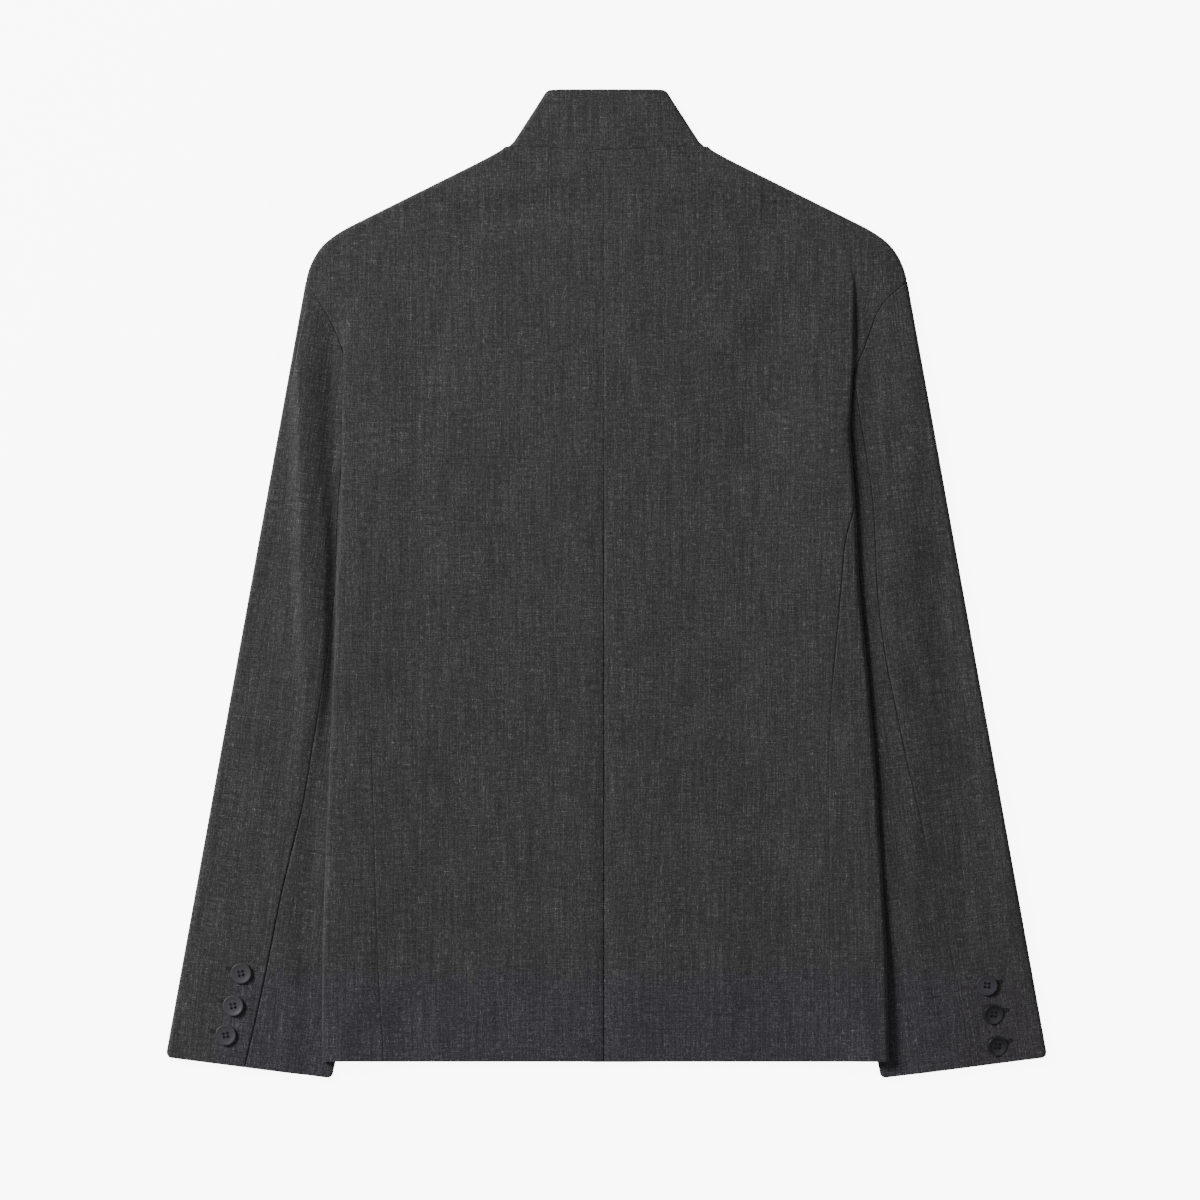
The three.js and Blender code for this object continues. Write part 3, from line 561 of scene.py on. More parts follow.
def neck_rise(x):
    """How far up the collar seam has come from its lowest place, at the centre back: 0 to 1."""
    return soft(np.abs(x - CENTRE_X) / (NECK_HALF - abs(CENTRE_X)))


# Columns of the back and of a side panel: flat part, side fold and past the fold
BACK_COLUMNS = (72, 26, 12)
SIDE_COLUMNS = (22, 26, 12)
ROW_STEP = 2.5
FRONT_ROW_STEP = 4.0
SHOULDER_EASE = 20.0
NECK_BAND = 20.0

# Depth and width of the pressed edges at the collar: the back below the seam, the band's foot and top
COLLAR_SEAM_BELOW = (0.75, 1.3)
COLLAR_FOOT = (0.55, 1.2)
COLLAR_TOP = (0.6, 1.6)


def back_stations(side, y, first, last):
    quarter = fold_quarter(side, y)
    flat = mix(first, quarter, spread(BACK_COLUMNS[0])[None, :] ** 0.9)
    flat[:, 1] = first[:, 0] - 0.6
    flat[:, 2] = first[:, 0] - 1.4
    fold = mix(quarter, -quarter, spread(BACK_COLUMNS[1])[None, :])
    past = mix(-quarter, np.minimum(last, -quarter), spread(BACK_COLUMNS[2])[None, :])
    near_seam = last + SEAM_STATIONS[None, ::-1]
    return in_order(side_by_side(flat, fold, past, near_seam), first, last)


def make_back(side):
    centre = SIGN[side] * CENTRE_X + SEAM_GAP / 2
    y = rows_between(COLLAR_SEAM_SIDE_Y - SEAM_GAP / 2, HEM_Y, ROW_STEP)
    seated = np.minimum(y, SHOULDER_END_Y)
    first = along_back(side, seated, centre)
    at_armhole = along_under(side, seated, armhole(side, seated))
    last = np.where(y > SIDE_PANEL_TOP_Y, at_armhole, side_seam_along(side, seated))
    half, z = on_body(side, seated, back_stations(side, seated, first, last))
    outer = silhouette(y)
    share = (half - centre) / (half[:, -1:] - centre)
    roll_count = len(SEAM_STATIONS)
    turn = np.linspace(math.pi / 2, -0.3, roll_count)[None, :]
    rolled = outer - ROLL * shoulder_slant(y) * (1 - np.cos(turn))
    inner_share = share[:, :-roll_count] / share[:, -roll_count : -roll_count + 1]
    laid = centre + inner_share * (rolled[:, :1] - centre)
    rolled_z = np.broadcast_to(ROLL + ROLL * np.sin(turn), rolled.shape)
    shoulder_z = side_by_side(np.full_like(laid, FULL), rolled_z)
    eased = soft((y - SHOULDER_END_Y) / SHOULDER_EASE)
    on_shoulder = y >= SHOULDER_END_Y
    half = np.where(on_shoulder, side_by_side(laid, rolled), half)
    z = np.where(on_shoulder, mix(np.minimum(z, shoulder_z), shoulder_z, eased), z)
    centre_share = 1 - neck_rise(SIGN[side] * half)
    neck_drop = COLLAR_SEAM_SIDE_Y - COLLAR_SEAM_BACK_Y
    dip_share = np.clip((y - (COLLAR_SEAM_BACK_Y - NECK_BAND)) / (neck_drop + NECK_BAND), 0, 1)
    places = grid(SIGN[side] * half, y - neck_drop * centre_share * dip_share, z)
    from_centre = distance_along(places, 1)
    to_seam = from_centre[:, -1:] - from_centre
    dips = pressed(from_centre, read(CENTRE_SEAM_DEPTH, side, y))
    dips = dips + pressed(to_seam, read(SIDE_SEAM_DEPTH, side, y) * np.where(on_shoulder, 0.0, 1.0))
    dips = dips + pressed(distance_along(places, 0), *COLLAR_SEAM_BELOW)
    pattern = grid(SIGN[side] * (centre + from_centre), places[:, :, 1])
    return add_shell("back", side, places, pattern, dips, BACK_CREASES)


def make_side_panel(side):
    y = rows_between(SIDE_PANEL_TOP_Y - 0.1, HEM_Y, ROW_STEP)
    quarter = fold_quarter(side, y)
    first = side_seam_along(side, y) - SEAM_GAP
    seam = front_seam(side, y) + SEAM_GAP
    last = np.minimum(along_under(side, y, seam), first - 4)
    flat = mix(first, quarter, spread(SIDE_COLUMNS[0])[None, :])
    fold = mix(quarter, -quarter, spread(SIDE_COLUMNS[1])[None, :])
    under = mix(-quarter, np.minimum(last, -quarter), spread(SIDE_COLUMNS[2])[None, :])
    near_seam = first - SEAM_STATIONS[None, :]
    along = in_order(side_by_side(near_seam, flat, fold, under, last), first, last)
    half, z = on_body(side, y, along)
    places = grid(SIGN[side] * half, y, z)
    dips = pressed(distance_along(places, 1), read(SIDE_SEAM_DEPTH, side, y))
    pattern = grid(SIGN[side] * (fold_centre(side, y) + quarter - along), y)
    return add_shell("side", side, places, pattern, dips, BACK_CREASES)


def front_inner(side, y):
    """Inner edge of a front: the collar's neckline, then the centre front."""
    closed = FRONT_OVERLAP[side]
    widest = NECK_HALF - COLLAR_REACH + 0.6
    neck = widest - FRONT_NECK_SLOPE * (COLLAR_SEAM_SIDE_Y - y)
    at_row = widest - FRONT_NECK_SLOPE * (COLLAR_SEAM_SIDE_Y - FRONT_NECK_ROW)
    share = (y - FRONT_NECK_Y) / (FRONT_NECK_ROW - FRONT_NECK_Y)
    return np.where(y >= FRONT_NECK_ROW, neck, np.maximum(closed, mix(closed, at_row, share)))


def make_front(side):
    y = rows_between(COLLAR_SEAM_SIDE_Y - 7, HEM_Y - 1.0, FRONT_ROW_STEP)
    on_shoulder = y >= SHOULDER_END_Y
    outer = np.where(on_shoulder, silhouette(y), front_seam(side, y))
    slant = np.where(on_shoulder, shoulder_slant(y), 1.0)
    turn = np.linspace(0.25, math.pi / 2, 9)[None, :]
    rolled = outer - ROLL * slant * (1 - np.cos(turn))
    rolled_z = np.where(on_shoulder, ROLL - ROLL * np.sin(turn), 0.0)
    inner = front_inner(side, y)
    flat = mix(rolled[:, -1:], inner, np.linspace(0.015, 1.0, 46)[None, :])
    lift = OVERLAP_LIFT if side == "right" else 0.0
    laid = lift * soft((OVERLAP_FROM - flat) / (OVERLAP_FROM - OVERLAP_TO))
    places = grid(SIGN[side] * side_by_side(rolled, flat), y, side_by_side(rolled_z, laid))
    return add_shell("front", side, places, places[:, :, :2], np.zeros(places.shape[:2]))


def sleeve_plan(side, down, share):
    """A sleeve's place in plan: down is 0 at the armhole and 1 at the cuff, share 0 at the outer edge
    and 1 at the inner one."""
    outer_y = mix(SHOULDER_END_Y, CUFF_OUTER_Y, down)
    inner_y = mix(UNDERARM_Y, CUFF_INNER_Y, down)
    seam_y = mix(SHOULDER_END_Y, UNDERARM_Y, share)
    straight = mix(silhouette(SHOULDER_END_Y), sleeve_inner(UNDERARM_Y), share)
    bow = (armhole(side, seam_y) - straight) * (1 - soft(down / 0.5))
    return mix(silhouette(outer_y), sleeve_inner(inner_y), share) + bow, mix(outer_y, inner_y, share)


def elbow_share(side, down):
    """Share of a sleeve's row at which the elbow seam crosses it."""
    low = np.zeros_like(down)
    high = np.ones_like(down)
    for _ in range(30):
        middle = (low + high) / 2
        half, y = sleeve_plan(side, down, middle)
        outside = half > read(ELBOW_SEAM, side, y)
        low = np.where(outside, middle, low)
        high = np.where(outside, high, middle)
    return low


# The sleeve's cloth goes on past the armhole seam, in some rows that lie lower
ALLOWANCE = 4.0
ALLOWANCE_ROWS = 3
ALLOWANCE_DROP = 1.65
FOREARM_SEAM_Y = 120.0
FOREARM_SHARE = (SHOULDER_END_Y - FOREARM_SEAM_Y) / (SHOULDER_END_Y - UNDERARM_Y)
CUFF_CORNER = 4.5
CUFF_CORNER_SCALE = 610.0
SLEEVE_LEAN = 107.5
SLEEVE_LENGTH = math.hypot(SHOULDER_END_Y - CUFF_OUTER_Y, SLEEVE_LEAN)
SEAM_MARGIN = 6.5
SLEEVE_ROW_STEP = 2.7

# Columns of a top sleeve, upper side, roll and lower side, and of an under sleeve, in reverse order
TOP_SLEEVE_COLUMNS = (50, 15, 18)
UNDER_SLEEVE_COLUMNS = (10, 11, 27)
GRAIN_TILT = {"left": math.radians(-7.0), "right": math.radians(7.0)}


def sleeve_rows(side):
    """Rows from the armhole down as shares of the sleeve's length, with their widths and the widths
    of the rolls at the outer and the inner edge."""
    fine = SEAM_STATIONS / SLEEVE_LENGTH
    margin = SEAM_MARGIN / SLEEVE_LENGTH
    inner = np.linspace(margin, 1 - margin, int(SLEEVE_LENGTH / SLEEVE_ROW_STEP))
    allowance = np.array([-ALLOWANCE, -ALLOWANCE / 2, -0.5]) / SLEEVE_LENGTH
    seam = fine + SEAM_GAP / 2 / SLEEVE_LENGTH
    down = np.concatenate([allowance, seam, inner, (1 - fine)[::-1]])[:, None]
    outer_half, outer_y = sleeve_plan(side, down, 0.0)
    inner_half, inner_y = sleeve_plan(side, down, 1.0)
    width = np.hypot(outer_half - inner_half, outer_y - inner_y)
    slant = (outer_half - inner_half) / width
    return down, width, ROLL / (width * np.minimum(1.0, slant + 0.12)), HIDDEN_ROLL / (width * slant)


def rounded_cuff(down, share, width):
    """Pulls a row back near the sleeve's edges at the cuff, which turns its corners round."""
    edge = np.minimum(share, 1 - share) * width
    into = np.clip(1 - edge / CUFF_CORNER, 0.0, 1.0)
    back = CUFF_CORNER * (1 - np.sqrt(1 - into * into)) / CUFF_CORNER_SCALE
    return down - back * soft((down - 0.9) / 0.1)


def sleeve_places(side, down, width, share, z):
    """Half widths, lengths and heights of some columns; without z they lie on the upper side."""
    half, y = sleeve_plan(side, rounded_cuff(down, share, width), share)
    height = sleeve_top(side, half, y) if z is None else np.broadcast_to(z, half.shape)
    return half, y, height


def sleeve_grid(side, down, width, parts):
    """Places of all columns of a sleeve piece, given in parts of shares and heights."""
    joined = [sleeve_places(side, down, width, share, z) for share, z in parts]
    half, y, z = (side_by_side(*values) for values in zip(*joined))
    return grid(SIGN[side] * half, y, z)


def sleeve_pattern(side, places, outermost):
    """The cloth's own directions, which run down the sleeve and turn over at its outermost column."""
    tilt = GRAIN_TILT[side]
    across = places[:, :, 0] * math.cos(tilt) + places[:, :, 1] * math.sin(tilt)
    down = places[:, :, 1] * math.cos(tilt) - places[:, :, 0] * math.sin(tilt)
    at_edge = across[:, outermost : outermost + 1]
    beneath = np.arange(places.shape[1])[None, :] > outermost
    return grid(np.where(beneath, 2 * at_edge - across, across), down)


def end_dips(places):
    """How far a sleeve's ends are pressed in: at the cuff, and at the armhole, where its cloth goes on
    beneath the body's."""
    from_cuff = distance_along(places[::-1], 0)[::-1]
    from_seam = distance_along(places, 0)
    from_seam = from_seam - from_seam[ALLOWANCE_ROWS : ALLOWANCE_ROWS + 1]
    at_seam = pressed(np.maximum(from_seam, 0.0), 0.8) * soft(places[:, :, 2] / ROLL - 0.5)
    return pressed(from_cuff, 0.25, 1.2) + at_seam + ALLOWANCE_DROP * (from_seam < -0.01)


def make_sleeve_top(side):
    down, width, outer_reach, _ = sleeve_rows(side)
    elbow = elbow_share(side, down) - SEAM_GAP / 2 / width
    forearm = FOREARM_SHARE - SEAM_GAP / 2 / width
    near_seam = elbow - SEAM_STATIONS[None, :] / width
    upper_count, roll_count, lower_count = TOP_SLEEVE_COLUMNS
    upper = mix(near_seam[:, -1:], outer_reach, spread(upper_count)[None, 1:])
    turn = np.linspace(math.pi / 2, -math.pi / 2, roll_count)[None, :]
    rolled = outer_reach * (1 - np.cos(turn))
    lower = mix(outer_reach, forearm, np.linspace(0.04, 1.0, lower_count)[None, :])
    rolled_z = ROLL + ROLL * np.sin(turn)
    parts = [(near_seam, None), (upper, None), (rolled, rolled_z), (lower, 0.0)]
    places = sleeve_grid(side, down, width, parts)
    dips = pressed(distance_along(places, 1), read(ELBOW_SEAM_DEPTH, side, places[:, :1, 1]))
    outermost = near_seam.shape[1] + upper.shape[1] + roll_count // 2
    pattern = sleeve_pattern(side, places, outermost)
    return add_shell("sleeve_top", side, places, pattern, dips + end_dips(places), SLEEVE_CREASES[side])


def make_sleeve_under(side):
    down, width, _, inner_reach = sleeve_rows(side)
    elbow = elbow_share(side, down) + SEAM_GAP / 2 / width
    forearm = FOREARM_SHARE + SEAM_GAP / 2 / width
    inner = 1 - inner_reach
    lower_count, roll_count, upper_count = UNDER_SLEEVE_COLUMNS
    lower = mix(forearm, inner, spread(lower_count)[None, :])
    turn = np.linspace(-math.pi / 2, math.pi / 2, roll_count)[None, :]
    rolled = 1 - inner_reach * (1 - np.cos(turn))
    near_seam = elbow + SEAM_STATIONS[None, ::-1] / width
    upper = mix(inner, near_seam[:, :1], spread(upper_count)[None, 1:])
    rolled_z = HIDDEN_ROLL + HIDDEN_ROLL * np.sin(turn)
    parts = [(lower, 0.0), (rolled, rolled_z), (upper, None), (near_seam, None)]
    places = sleeve_grid(side, down, width, parts)
    from_start = distance_along(places, 1)
    to_seam = from_start[:, -1:] - from_start
    dips = pressed(to_seam, read(ELBOW_SEAM_DEPTH, side, places[:, -1:, 1]))
    pattern = sleeve_pattern(side, places, places.shape[1] - 1)
    return add_shell("sleeve_under", side, places, pattern, dips + end_dips(places), SLEEVE_CREASES[side])


# The collar band: its rows between the edges, its columns on front run, roll and back, its corners
COLLAR_ROWS = 14
COLLAR_COLUMNS = (40, 13, 62)
COLLAR_CORNER = 3.2


def make_collar():
    """The stand collar: one band folded at both sides of the neck."""
    near_edge = SEAM_STATIONS / 45
    up = np.concatenate([1 - near_edge, np.linspace(0.84, 0.12, COLLAR_ROWS), near_edge[::-1]])[:, None]
    side_y = mix(COLLAR_SEAM_SIDE_Y + SEAM_GAP / 2, COLLAR_TOP_Y, up)
    back_y = mix(COLLAR_SEAM_BACK_Y + SEAM_GAP / 2, COLLAR_TOP_Y, up)
    corner = COLLAR_CORNER * (1 - np.sqrt(1 - np.clip((up - 0.93) / 0.07, 0, 1) ** 2))
    hollow = COLLAR_HOLLOW * soft(up / 0.09) * (1 - up) ** 0.7
    half = mix(NECK_HALF, COLLAR_TOP_HALF, up) - corner - hollow
    front_count, roll_count, back_count = COLLAR_COLUMNS
    lengths = np.linspace(FRONT_COLLAR_LENGTH, 3.0, front_count)[None, :]
    turn = np.linspace(-math.pi / 2, math.pi / 2, roll_count)[None, :]
    share = np.linspace(-0.97, 0.97, back_count)[None, :]
    front_half = half - COLLAR_REACH - FRONT_COLLAR_ACROSS * lengths
    front_y = side_y - FRONT_COLLAR_DOWN * lengths
    roll_half = half - COLLAR_REACH * (1 - np.cos(turn))
    roll_y = np.broadcast_to(side_y, roll_half.shape)
    roll_z = np.broadcast_to(ROLL + ROLL * np.sin(turn), roll_half.shape)
    back_x = share * (half - COLLAR_REACH)
    back_places_y = mix(back_y, side_y, neck_rise(back_x))
    x = side_by_side(-front_half, -roll_half, back_x, roll_half[:, ::-1], front_half[:, ::-1])
    y = side_by_side(front_y, roll_y, back_places_y, roll_y[:, ::-1], front_y[:, ::-1])
    flat = np.zeros_like(front_half)
    z = side_by_side(flat, roll_z, np.full_like(back_x, FULL), roll_z[:, ::-1], flat)
    places = grid(x, y, z)
    across = distance_along(places, 1)
    middle = places.shape[1] // 2
    across = across - across[:, middle : middle + 1]
    from_top = distance_along(places, 0)
    dips = pressed(from_top, *COLLAR_TOP) + pressed(from_top[-1:] - from_top, *COLLAR_FOOT)
    pattern = grid(across, up * (COLLAR_TOP_Y - COLLAR_SEAM_SIDE_Y))
    return add_shell("collar", None, places, pattern, dips, BACK_CREASES)


def declare(piece, node):
    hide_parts(node)
    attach(piece, "root")


# Materials
def feed(tree, socket, value):
    """Links another node's output to a socket, or sets the socket to a value."""
    if isinstance(value, bpy.types.NodeSocket):
        tree.links.new(value, socket)
    else:
        socket.default_value = value


def fill(tree, node, **values):
    """Feeds a node's inputs by their names."""
    for name, value in values.items():
        feed(tree, node.inputs[name.replace("_", " ")], value)


def node_at(tree, kind, **values):
    """Adds a shader node; values name its settings or, where it has none so named, its inputs."""
    node = tree.nodes.new(kind)
    for name, value in values.items():
        if hasattr(node, name):
            setattr(node, name, value)
        else:
            fill(tree, node, **{name: value})
    return node


def math_node(tree, operation, *values):
    node = node_at(tree, "ShaderNodeMath", operation=operation)
    for k, value in enumerate(values):
        feed(tree, node.inputs[k], value)
    return node.outputs[0]


def plus(tree, first, second):
    return math_node(tree, "ADD", first, second)


def times(tree, first, second):
    return math_node(tree, "MULTIPLY", first, second)


def centred(tree, noise):
    """A noise's value, from around 0.5 to around 0."""
    return math_node(tree, "SUBTRACT", noise.outputs["Fac"], 0.5)


def ramp(tree, value, low, high, **ends):
    """Goes evenly from 0 at low to 1 at high, or from To_Min to To_Max."""
    return node_at(tree, "ShaderNodeMapRange", Value=value, From_Min=low, From_Max=high, **ends).outputs[0]


def scaled_colour(tree, colour, factor):
    scaled = node_at(tree, "ShaderNodeVectorMath", operation="SCALE", Scale=factor)
    tree.links.new(colour, scaled.inputs[0])
    return scaled.outputs[0]


def mixed_colour(tree, factor, first, second, **settings):
    """Mixes two colours, which are inputs 6 and 7 of such a node; the mix is output 2."""
    mixer = node_at(tree, "ShaderNodeMix", data_type="RGBA", Factor=factor, **settings)
    feed(tree, mixer.inputs[6], first)
    feed(tree, mixer.inputs[7], second)
    return mixer.outputs[2]


def new_group(name, inputs, outputs):
    group = bpy.data.node_groups.new(name, "ShaderNodeTree")
    for label, kind, value in inputs:
        socket = group.interface.new_socket(name=label, in_out="INPUT", socket_type=kind)
        if value is not None:
            socket.default_value = value
    for label, kind in outputs:
        group.interface.new_socket(name=label, in_out="OUTPUT", socket_type=kind)
    return group, group.nodes.new("NodeGroupInput"), group.nodes.new("NodeGroupOutput")


COLOR = "NodeSocketColor"
FLOAT = "NodeSocketFloat"
VECTOR = "NodeSocketVector"

# Threads of the heathered cloth: cell across and along in metres, detail, and how much it shows
THREADS = (
    ("warp_streak", 0.0013, 0.045, 1.0, 0.13), ("warp_fine", 0.0009, 0.004, 0.0, 0.11),
    ("weft_streak", 0.024, 0.0012, 1.0, 0.095), ("weft_fine", 0.005, 0.0009, 0.0, 0.08),
    ("grain", 0.00092, 0.00092, 2.0, 0.36), ("band", 0.0050, 0.060, 3.0, 0.055),
    ("blotch", 0.022, 0.030, 2.0, 0.035),
)
NOISE_SPREAD = 0.13

# Light flecks: cell across and along in metres, and the noise value at which they start
SLUBS = (
    ("warp_slub", 0.0012, 0.0070, 0.69), ("weft_slub", 0.0070, 0.0011, 0.70),
    ("knot", 0.0016, 0.0016, 0.75),
)
SLUB_RANGE = 0.16
THREAD_PITCH = 0.00048
WEAVE_HEIGHT = 0.15
TONE_HEIGHT = 0.8


def stretched_noise(tree, label, way, cell_across, cell_along, detail):
    """Noise drawn out into cells of a size across and along the cloth."""
    across = math_node(tree, "DIVIDE", way.outputs["X"], cell_across)
    along = math_node(tree, "DIVIDE", way.outputs["Y"], cell_along)
    place = node_at(tree, "ShaderNodeCombineXYZ", X=across, Y=along)
    return node_at(
        tree, "ShaderNodeTexNoise", label=label, noise_dimensions="2D", Vector=place.outputs[0], Scale=1.0,
        Detail=detail,
    )


def heathered_cloth():
    """Node group: melange of light and dark fibres in warp and weft, slubs and a plain weave."""
    inputs = [
        ("Way", VECTOR, None), ("Ground", COLOR, None), ("Melange", FLOAT, 1.0), ("Slubs", FLOAT, 0.5),
    ]
    group, given, made = new_group("heathered cloth", inputs, [("Color", COLOR), ("Height", FLOAT)])
    way = node_at(group, "ShaderNodeSeparateXYZ", Vector=given.outputs["Way"])
    tone = 0.0
    for name, cell_across, cell_along, detail, amount in THREADS:
        noise = stretched_noise(group, name, way, cell_across, cell_along, detail)
        tone = plus(group, tone, times(group, centred(group, noise), amount / NOISE_SPREAD))
    tone = times(group, tone, given.outputs["Melange"])
    for name, cell_across, cell_along, least in SLUBS:
        slub = stretched_noise(group, name, way, cell_across, cell_along, 0.0)
        fleck = ramp(group, slub.outputs["Fac"], least, least + SLUB_RANGE)
        tone = plus(group, tone, times(group, fleck, given.outputs["Slubs"]))
    colour = scaled_colour(group, given.outputs["Ground"], math_node(group, "EXPONENT", tone))
    warp, weft = (
        math_node(group, "SINE", times(group, way.outputs[axis], 2 * math.pi / THREAD_PITCH)) for axis in "XY"
    )
    weave = times(group, times(group, warp, weft), WEAVE_HEIGHT)
    fill(group, made, Color=colour, Height=plus(group, weave, times(group, tone, TONE_HEIGHT)))
    return group


# The cast's upper edge, its left edge with its slant, and how softly and raggedly they end, in metres
CAST_Y = -0.299
CAST_EDGE = 0.004
CAST_RAGGED = 0.04
CAST_LEFT_X = -0.283
CAST_LEFT_SLANT = 0.24
CAST_WARM_FROM = 0.235
CAST_WARM_TO = 0.285
CAST_COOL = (1.01, 0.98, 1.18, 1)
CAST_WARM = (1.06, 0.97, 1.08, 1)


def cool_cast():
    """Node group: a faint cool cast over the lowest part of the garment, with ragged edges. It ends
    at the left cuff's buttons and turns warmer towards the right cuff."""
    inputs = [("Place", VECTOR, None), ("Color", COLOR, None), ("Amount", FLOAT, 1.0)]
    group, given, made = new_group("cool cast", inputs, [("Color", COLOR)])
    place = given.outputs["Place"]
    parts = node_at(group, "ShaderNodeSeparateXYZ", Vector=place)
    ragged = node_at(group, "ShaderNodeTexNoise", Vector=place, Scale=90.0, Detail=3.0)
    shift = times(group, centred(group, ragged), CAST_RAGGED)
    level = plus(group, parts.outputs["Y"], shift)
    below = ramp(group, level, CAST_Y + CAST_EDGE, CAST_Y - CAST_EDGE)
    slanted = times(group, math_node(group, "SUBTRACT", level, CAST_Y), -CAST_LEFT_SLANT)
    from_left = plus(group, parts.outputs["X"], slanted)
    inside = ramp(group, from_left, CAST_LEFT_X - CAST_EDGE, CAST_LEFT_X + CAST_EDGE)
    amount = times(group, times(group, below, given.outputs["Amount"]), inside)
    warmer = ramp(group, plus(group, parts.outputs["X"], shift), CAST_WARM_FROM, CAST_WARM_TO)
    hue = mixed_colour(group, warmer, CAST_COOL, CAST_WARM)
    tinted = mixed_colour(group, amount, given.outputs["Color"], hue, blend_type="MULTIPLY")
    fill(group, made, Color=tinted)
    return group


def new_material(name):
    material = bpy.data.materials.new(name)
    material.use_nodes = True
    tree = material.node_tree
    return material, tree, tree.nodes["Principled BSDF"]


def cloth_material(name, ground, weave, cast):
    material, tree, shader = new_material(name)
    way = node_at(tree, "ShaderNodeUVMap", uv_map="cloth")
    place = node_at(tree, "ShaderNodeTexCoord")
    cloth = node_at(
        tree, "ShaderNodeGroup", node_tree=weave, Way=way.outputs["UV"], Ground=(*ground, 1), Slubs=0.45
    )
    cooled = node_at(
        tree, "ShaderNodeGroup", node_tree=cast, Place=place.outputs["Object"], Color=cloth.outputs["Color"]
    )
    bump = node_at(tree, "ShaderNodeBump", Strength=0.35, Distance=0.00012, Height=cloth.outputs["Height"])
    fill(
        tree, shader, Base_Color=cooled.outputs["Color"], Normal=bump.outputs["Normal"], Roughness=0.86,
        Specular_IOR_Level=0.25, Sheen_Weight=0.18, Sheen_Roughness=0.45, Sheen_Tint=(0.9, 0.9, 0.9, 1),
    )
    return material


def fine_grain():
    """Node group: a colour with fine mottling, and the mottling itself."""
    inputs = [
        ("Place", VECTOR, None), ("Color", COLOR, None), ("Scale", FLOAT, 900.0), ("Contrast", FLOAT, 0.2),
    ]
    group, given, made = new_group("fine grain", inputs, [("Color", COLOR), ("Fac", FLOAT)])
    place, scale = given.outputs["Place"], given.outputs["Scale"]
    mottle = node_at(group, "ShaderNodeTexNoise", Vector=place, Scale=scale, Detail=3.0)
    doubled = times(group, centred(group, mottle), 2.0)
    tone = math_node(group, "MULTIPLY_ADD", doubled, given.outputs["Contrast"], 1.0)
    colour = scaled_colour(group, given.outputs["Color"], tone)
    fill(group, made, Color=colour, Fac=mottle.outputs["Fac"])
    return group


def grained_material(name, colour, grain, scale, contrast, least_roughness, most_roughness):
    material, tree, shader = new_material(name)
    place = node_at(tree, "ShaderNodeTexCoord")
    mottled = node_at(
        tree, "ShaderNodeGroup", node_tree=grain, Place=place.outputs["Object"], Color=(*colour, 1),
        Scale=scale, Contrast=contrast,
    )
    mottling, tone = mottled.outputs["Fac"], mottled.outputs["Color"]
    rough = ramp(tree, mottling, 0.0, 1.0, To_Min=least_roughness, To_Max=most_roughness)
    fill(tree, shader, Base_Color=tone, Roughness=rough)
    return material


def thread_material(name, colour, grain):
    return grained_material(name, colour, grain, 2600.0, 0.4, 0.8, 0.85)


def button_material(name, colour, grain, least_roughness):
    return grained_material(name, colour, grain, 900.0, 0.2, least_roughness, least_roughness + 0.2)


# Buttons, made once and copied
HOLE_ACROSS = 1.6
HOLE_UP = 1.45

# Each side of a button by the way it faces, with its rings: how far in each lies and how far down
BUTTON_RINGS = ((1.0, ((1.0, 0.0), (0.9, 0.4), (2.6, 0.12))), (-1.0, ((1.6, 0.5),)))


def active_object(name):
    piece = bpy.context.view_layer.objects.active
    piece.name = name
    piece.data.name = name
    return piece


def apply_transforms():
    bpy.ops.object.transform_apply(location=True, rotation=True, scale=True)


def primitive(name, add, scale=(1, 1, 1), turn=(0, 0, 0), **settings):
    """Adds a primitive under a name, with its place, scale and turn applied to its mesh."""
    add(**settings)
    piece = active_object(name)
    piece.scale = scale
    piece.rotation_euler = turn
    apply_transforms()
    return piece


def select_where(kind, elements, test):
    """Selects, in edit mode, the faces or vertices of the active piece that pass a test."""
    bpy.ops.object.mode_set(mode="EDIT")
    bpy.ops.mesh.select_mode(type=kind)
    bpy.ops.mesh.select_all(action="DESELECT")
    bpy.ops.object.mode_set(mode="OBJECT")
    for element in elements:
        element.select = bool(test(element))
    bpy.ops.object.mode_set(mode="EDIT")


def button_blank():
    """One four-hole button about its own middle: dished face, raised rim, rounded edges, holes."""
    piece = primitive(
        "button_blank", bpy.ops.mesh.primitive_cylinder_add, vertices=64, radius=BUTTON_RADIUS * MM,
        depth=2.0 * MM, location=(0, 0, 1.0 * MM),
    )
    for facing, rings in BUTTON_RINGS:
        select_where("FACE", piece.data.polygons, lambda polygon: polygon.normal.z * facing > 0.9)
        for inset, drop in rings:
            bpy.ops.mesh.inset(thickness=inset * MM)
            bpy.ops.transform.translate(value=(0, 0, -drop * MM))
        bpy.ops.object.mode_set(mode="OBJECT")
    apply_modifier(
        piece, "BEVEL", width=0.42 * MM, segments=4, limit_method="ANGLE", angle_limit=math.radians(25)
    )
    for across in (-HOLE_ACROSS, HOLE_ACROSS):
        for up in (-HOLE_UP, HOLE_UP):
            place = (across * MM, up * MM, 1.2 * MM)
            bpy.ops.mesh.primitive_cylinder_add(vertices=20, radius=1.0 * MM, depth=8 * MM, location=place)
            drill = active_object("button_drill")
            apply_modifier(piece, "BOOLEAN", operation="DIFFERENCE", object=drill)
            bpy.data.objects.remove(drill)
    bpy.ops.object.shade_smooth_by_angle(angle=math.radians(35))
    return piece


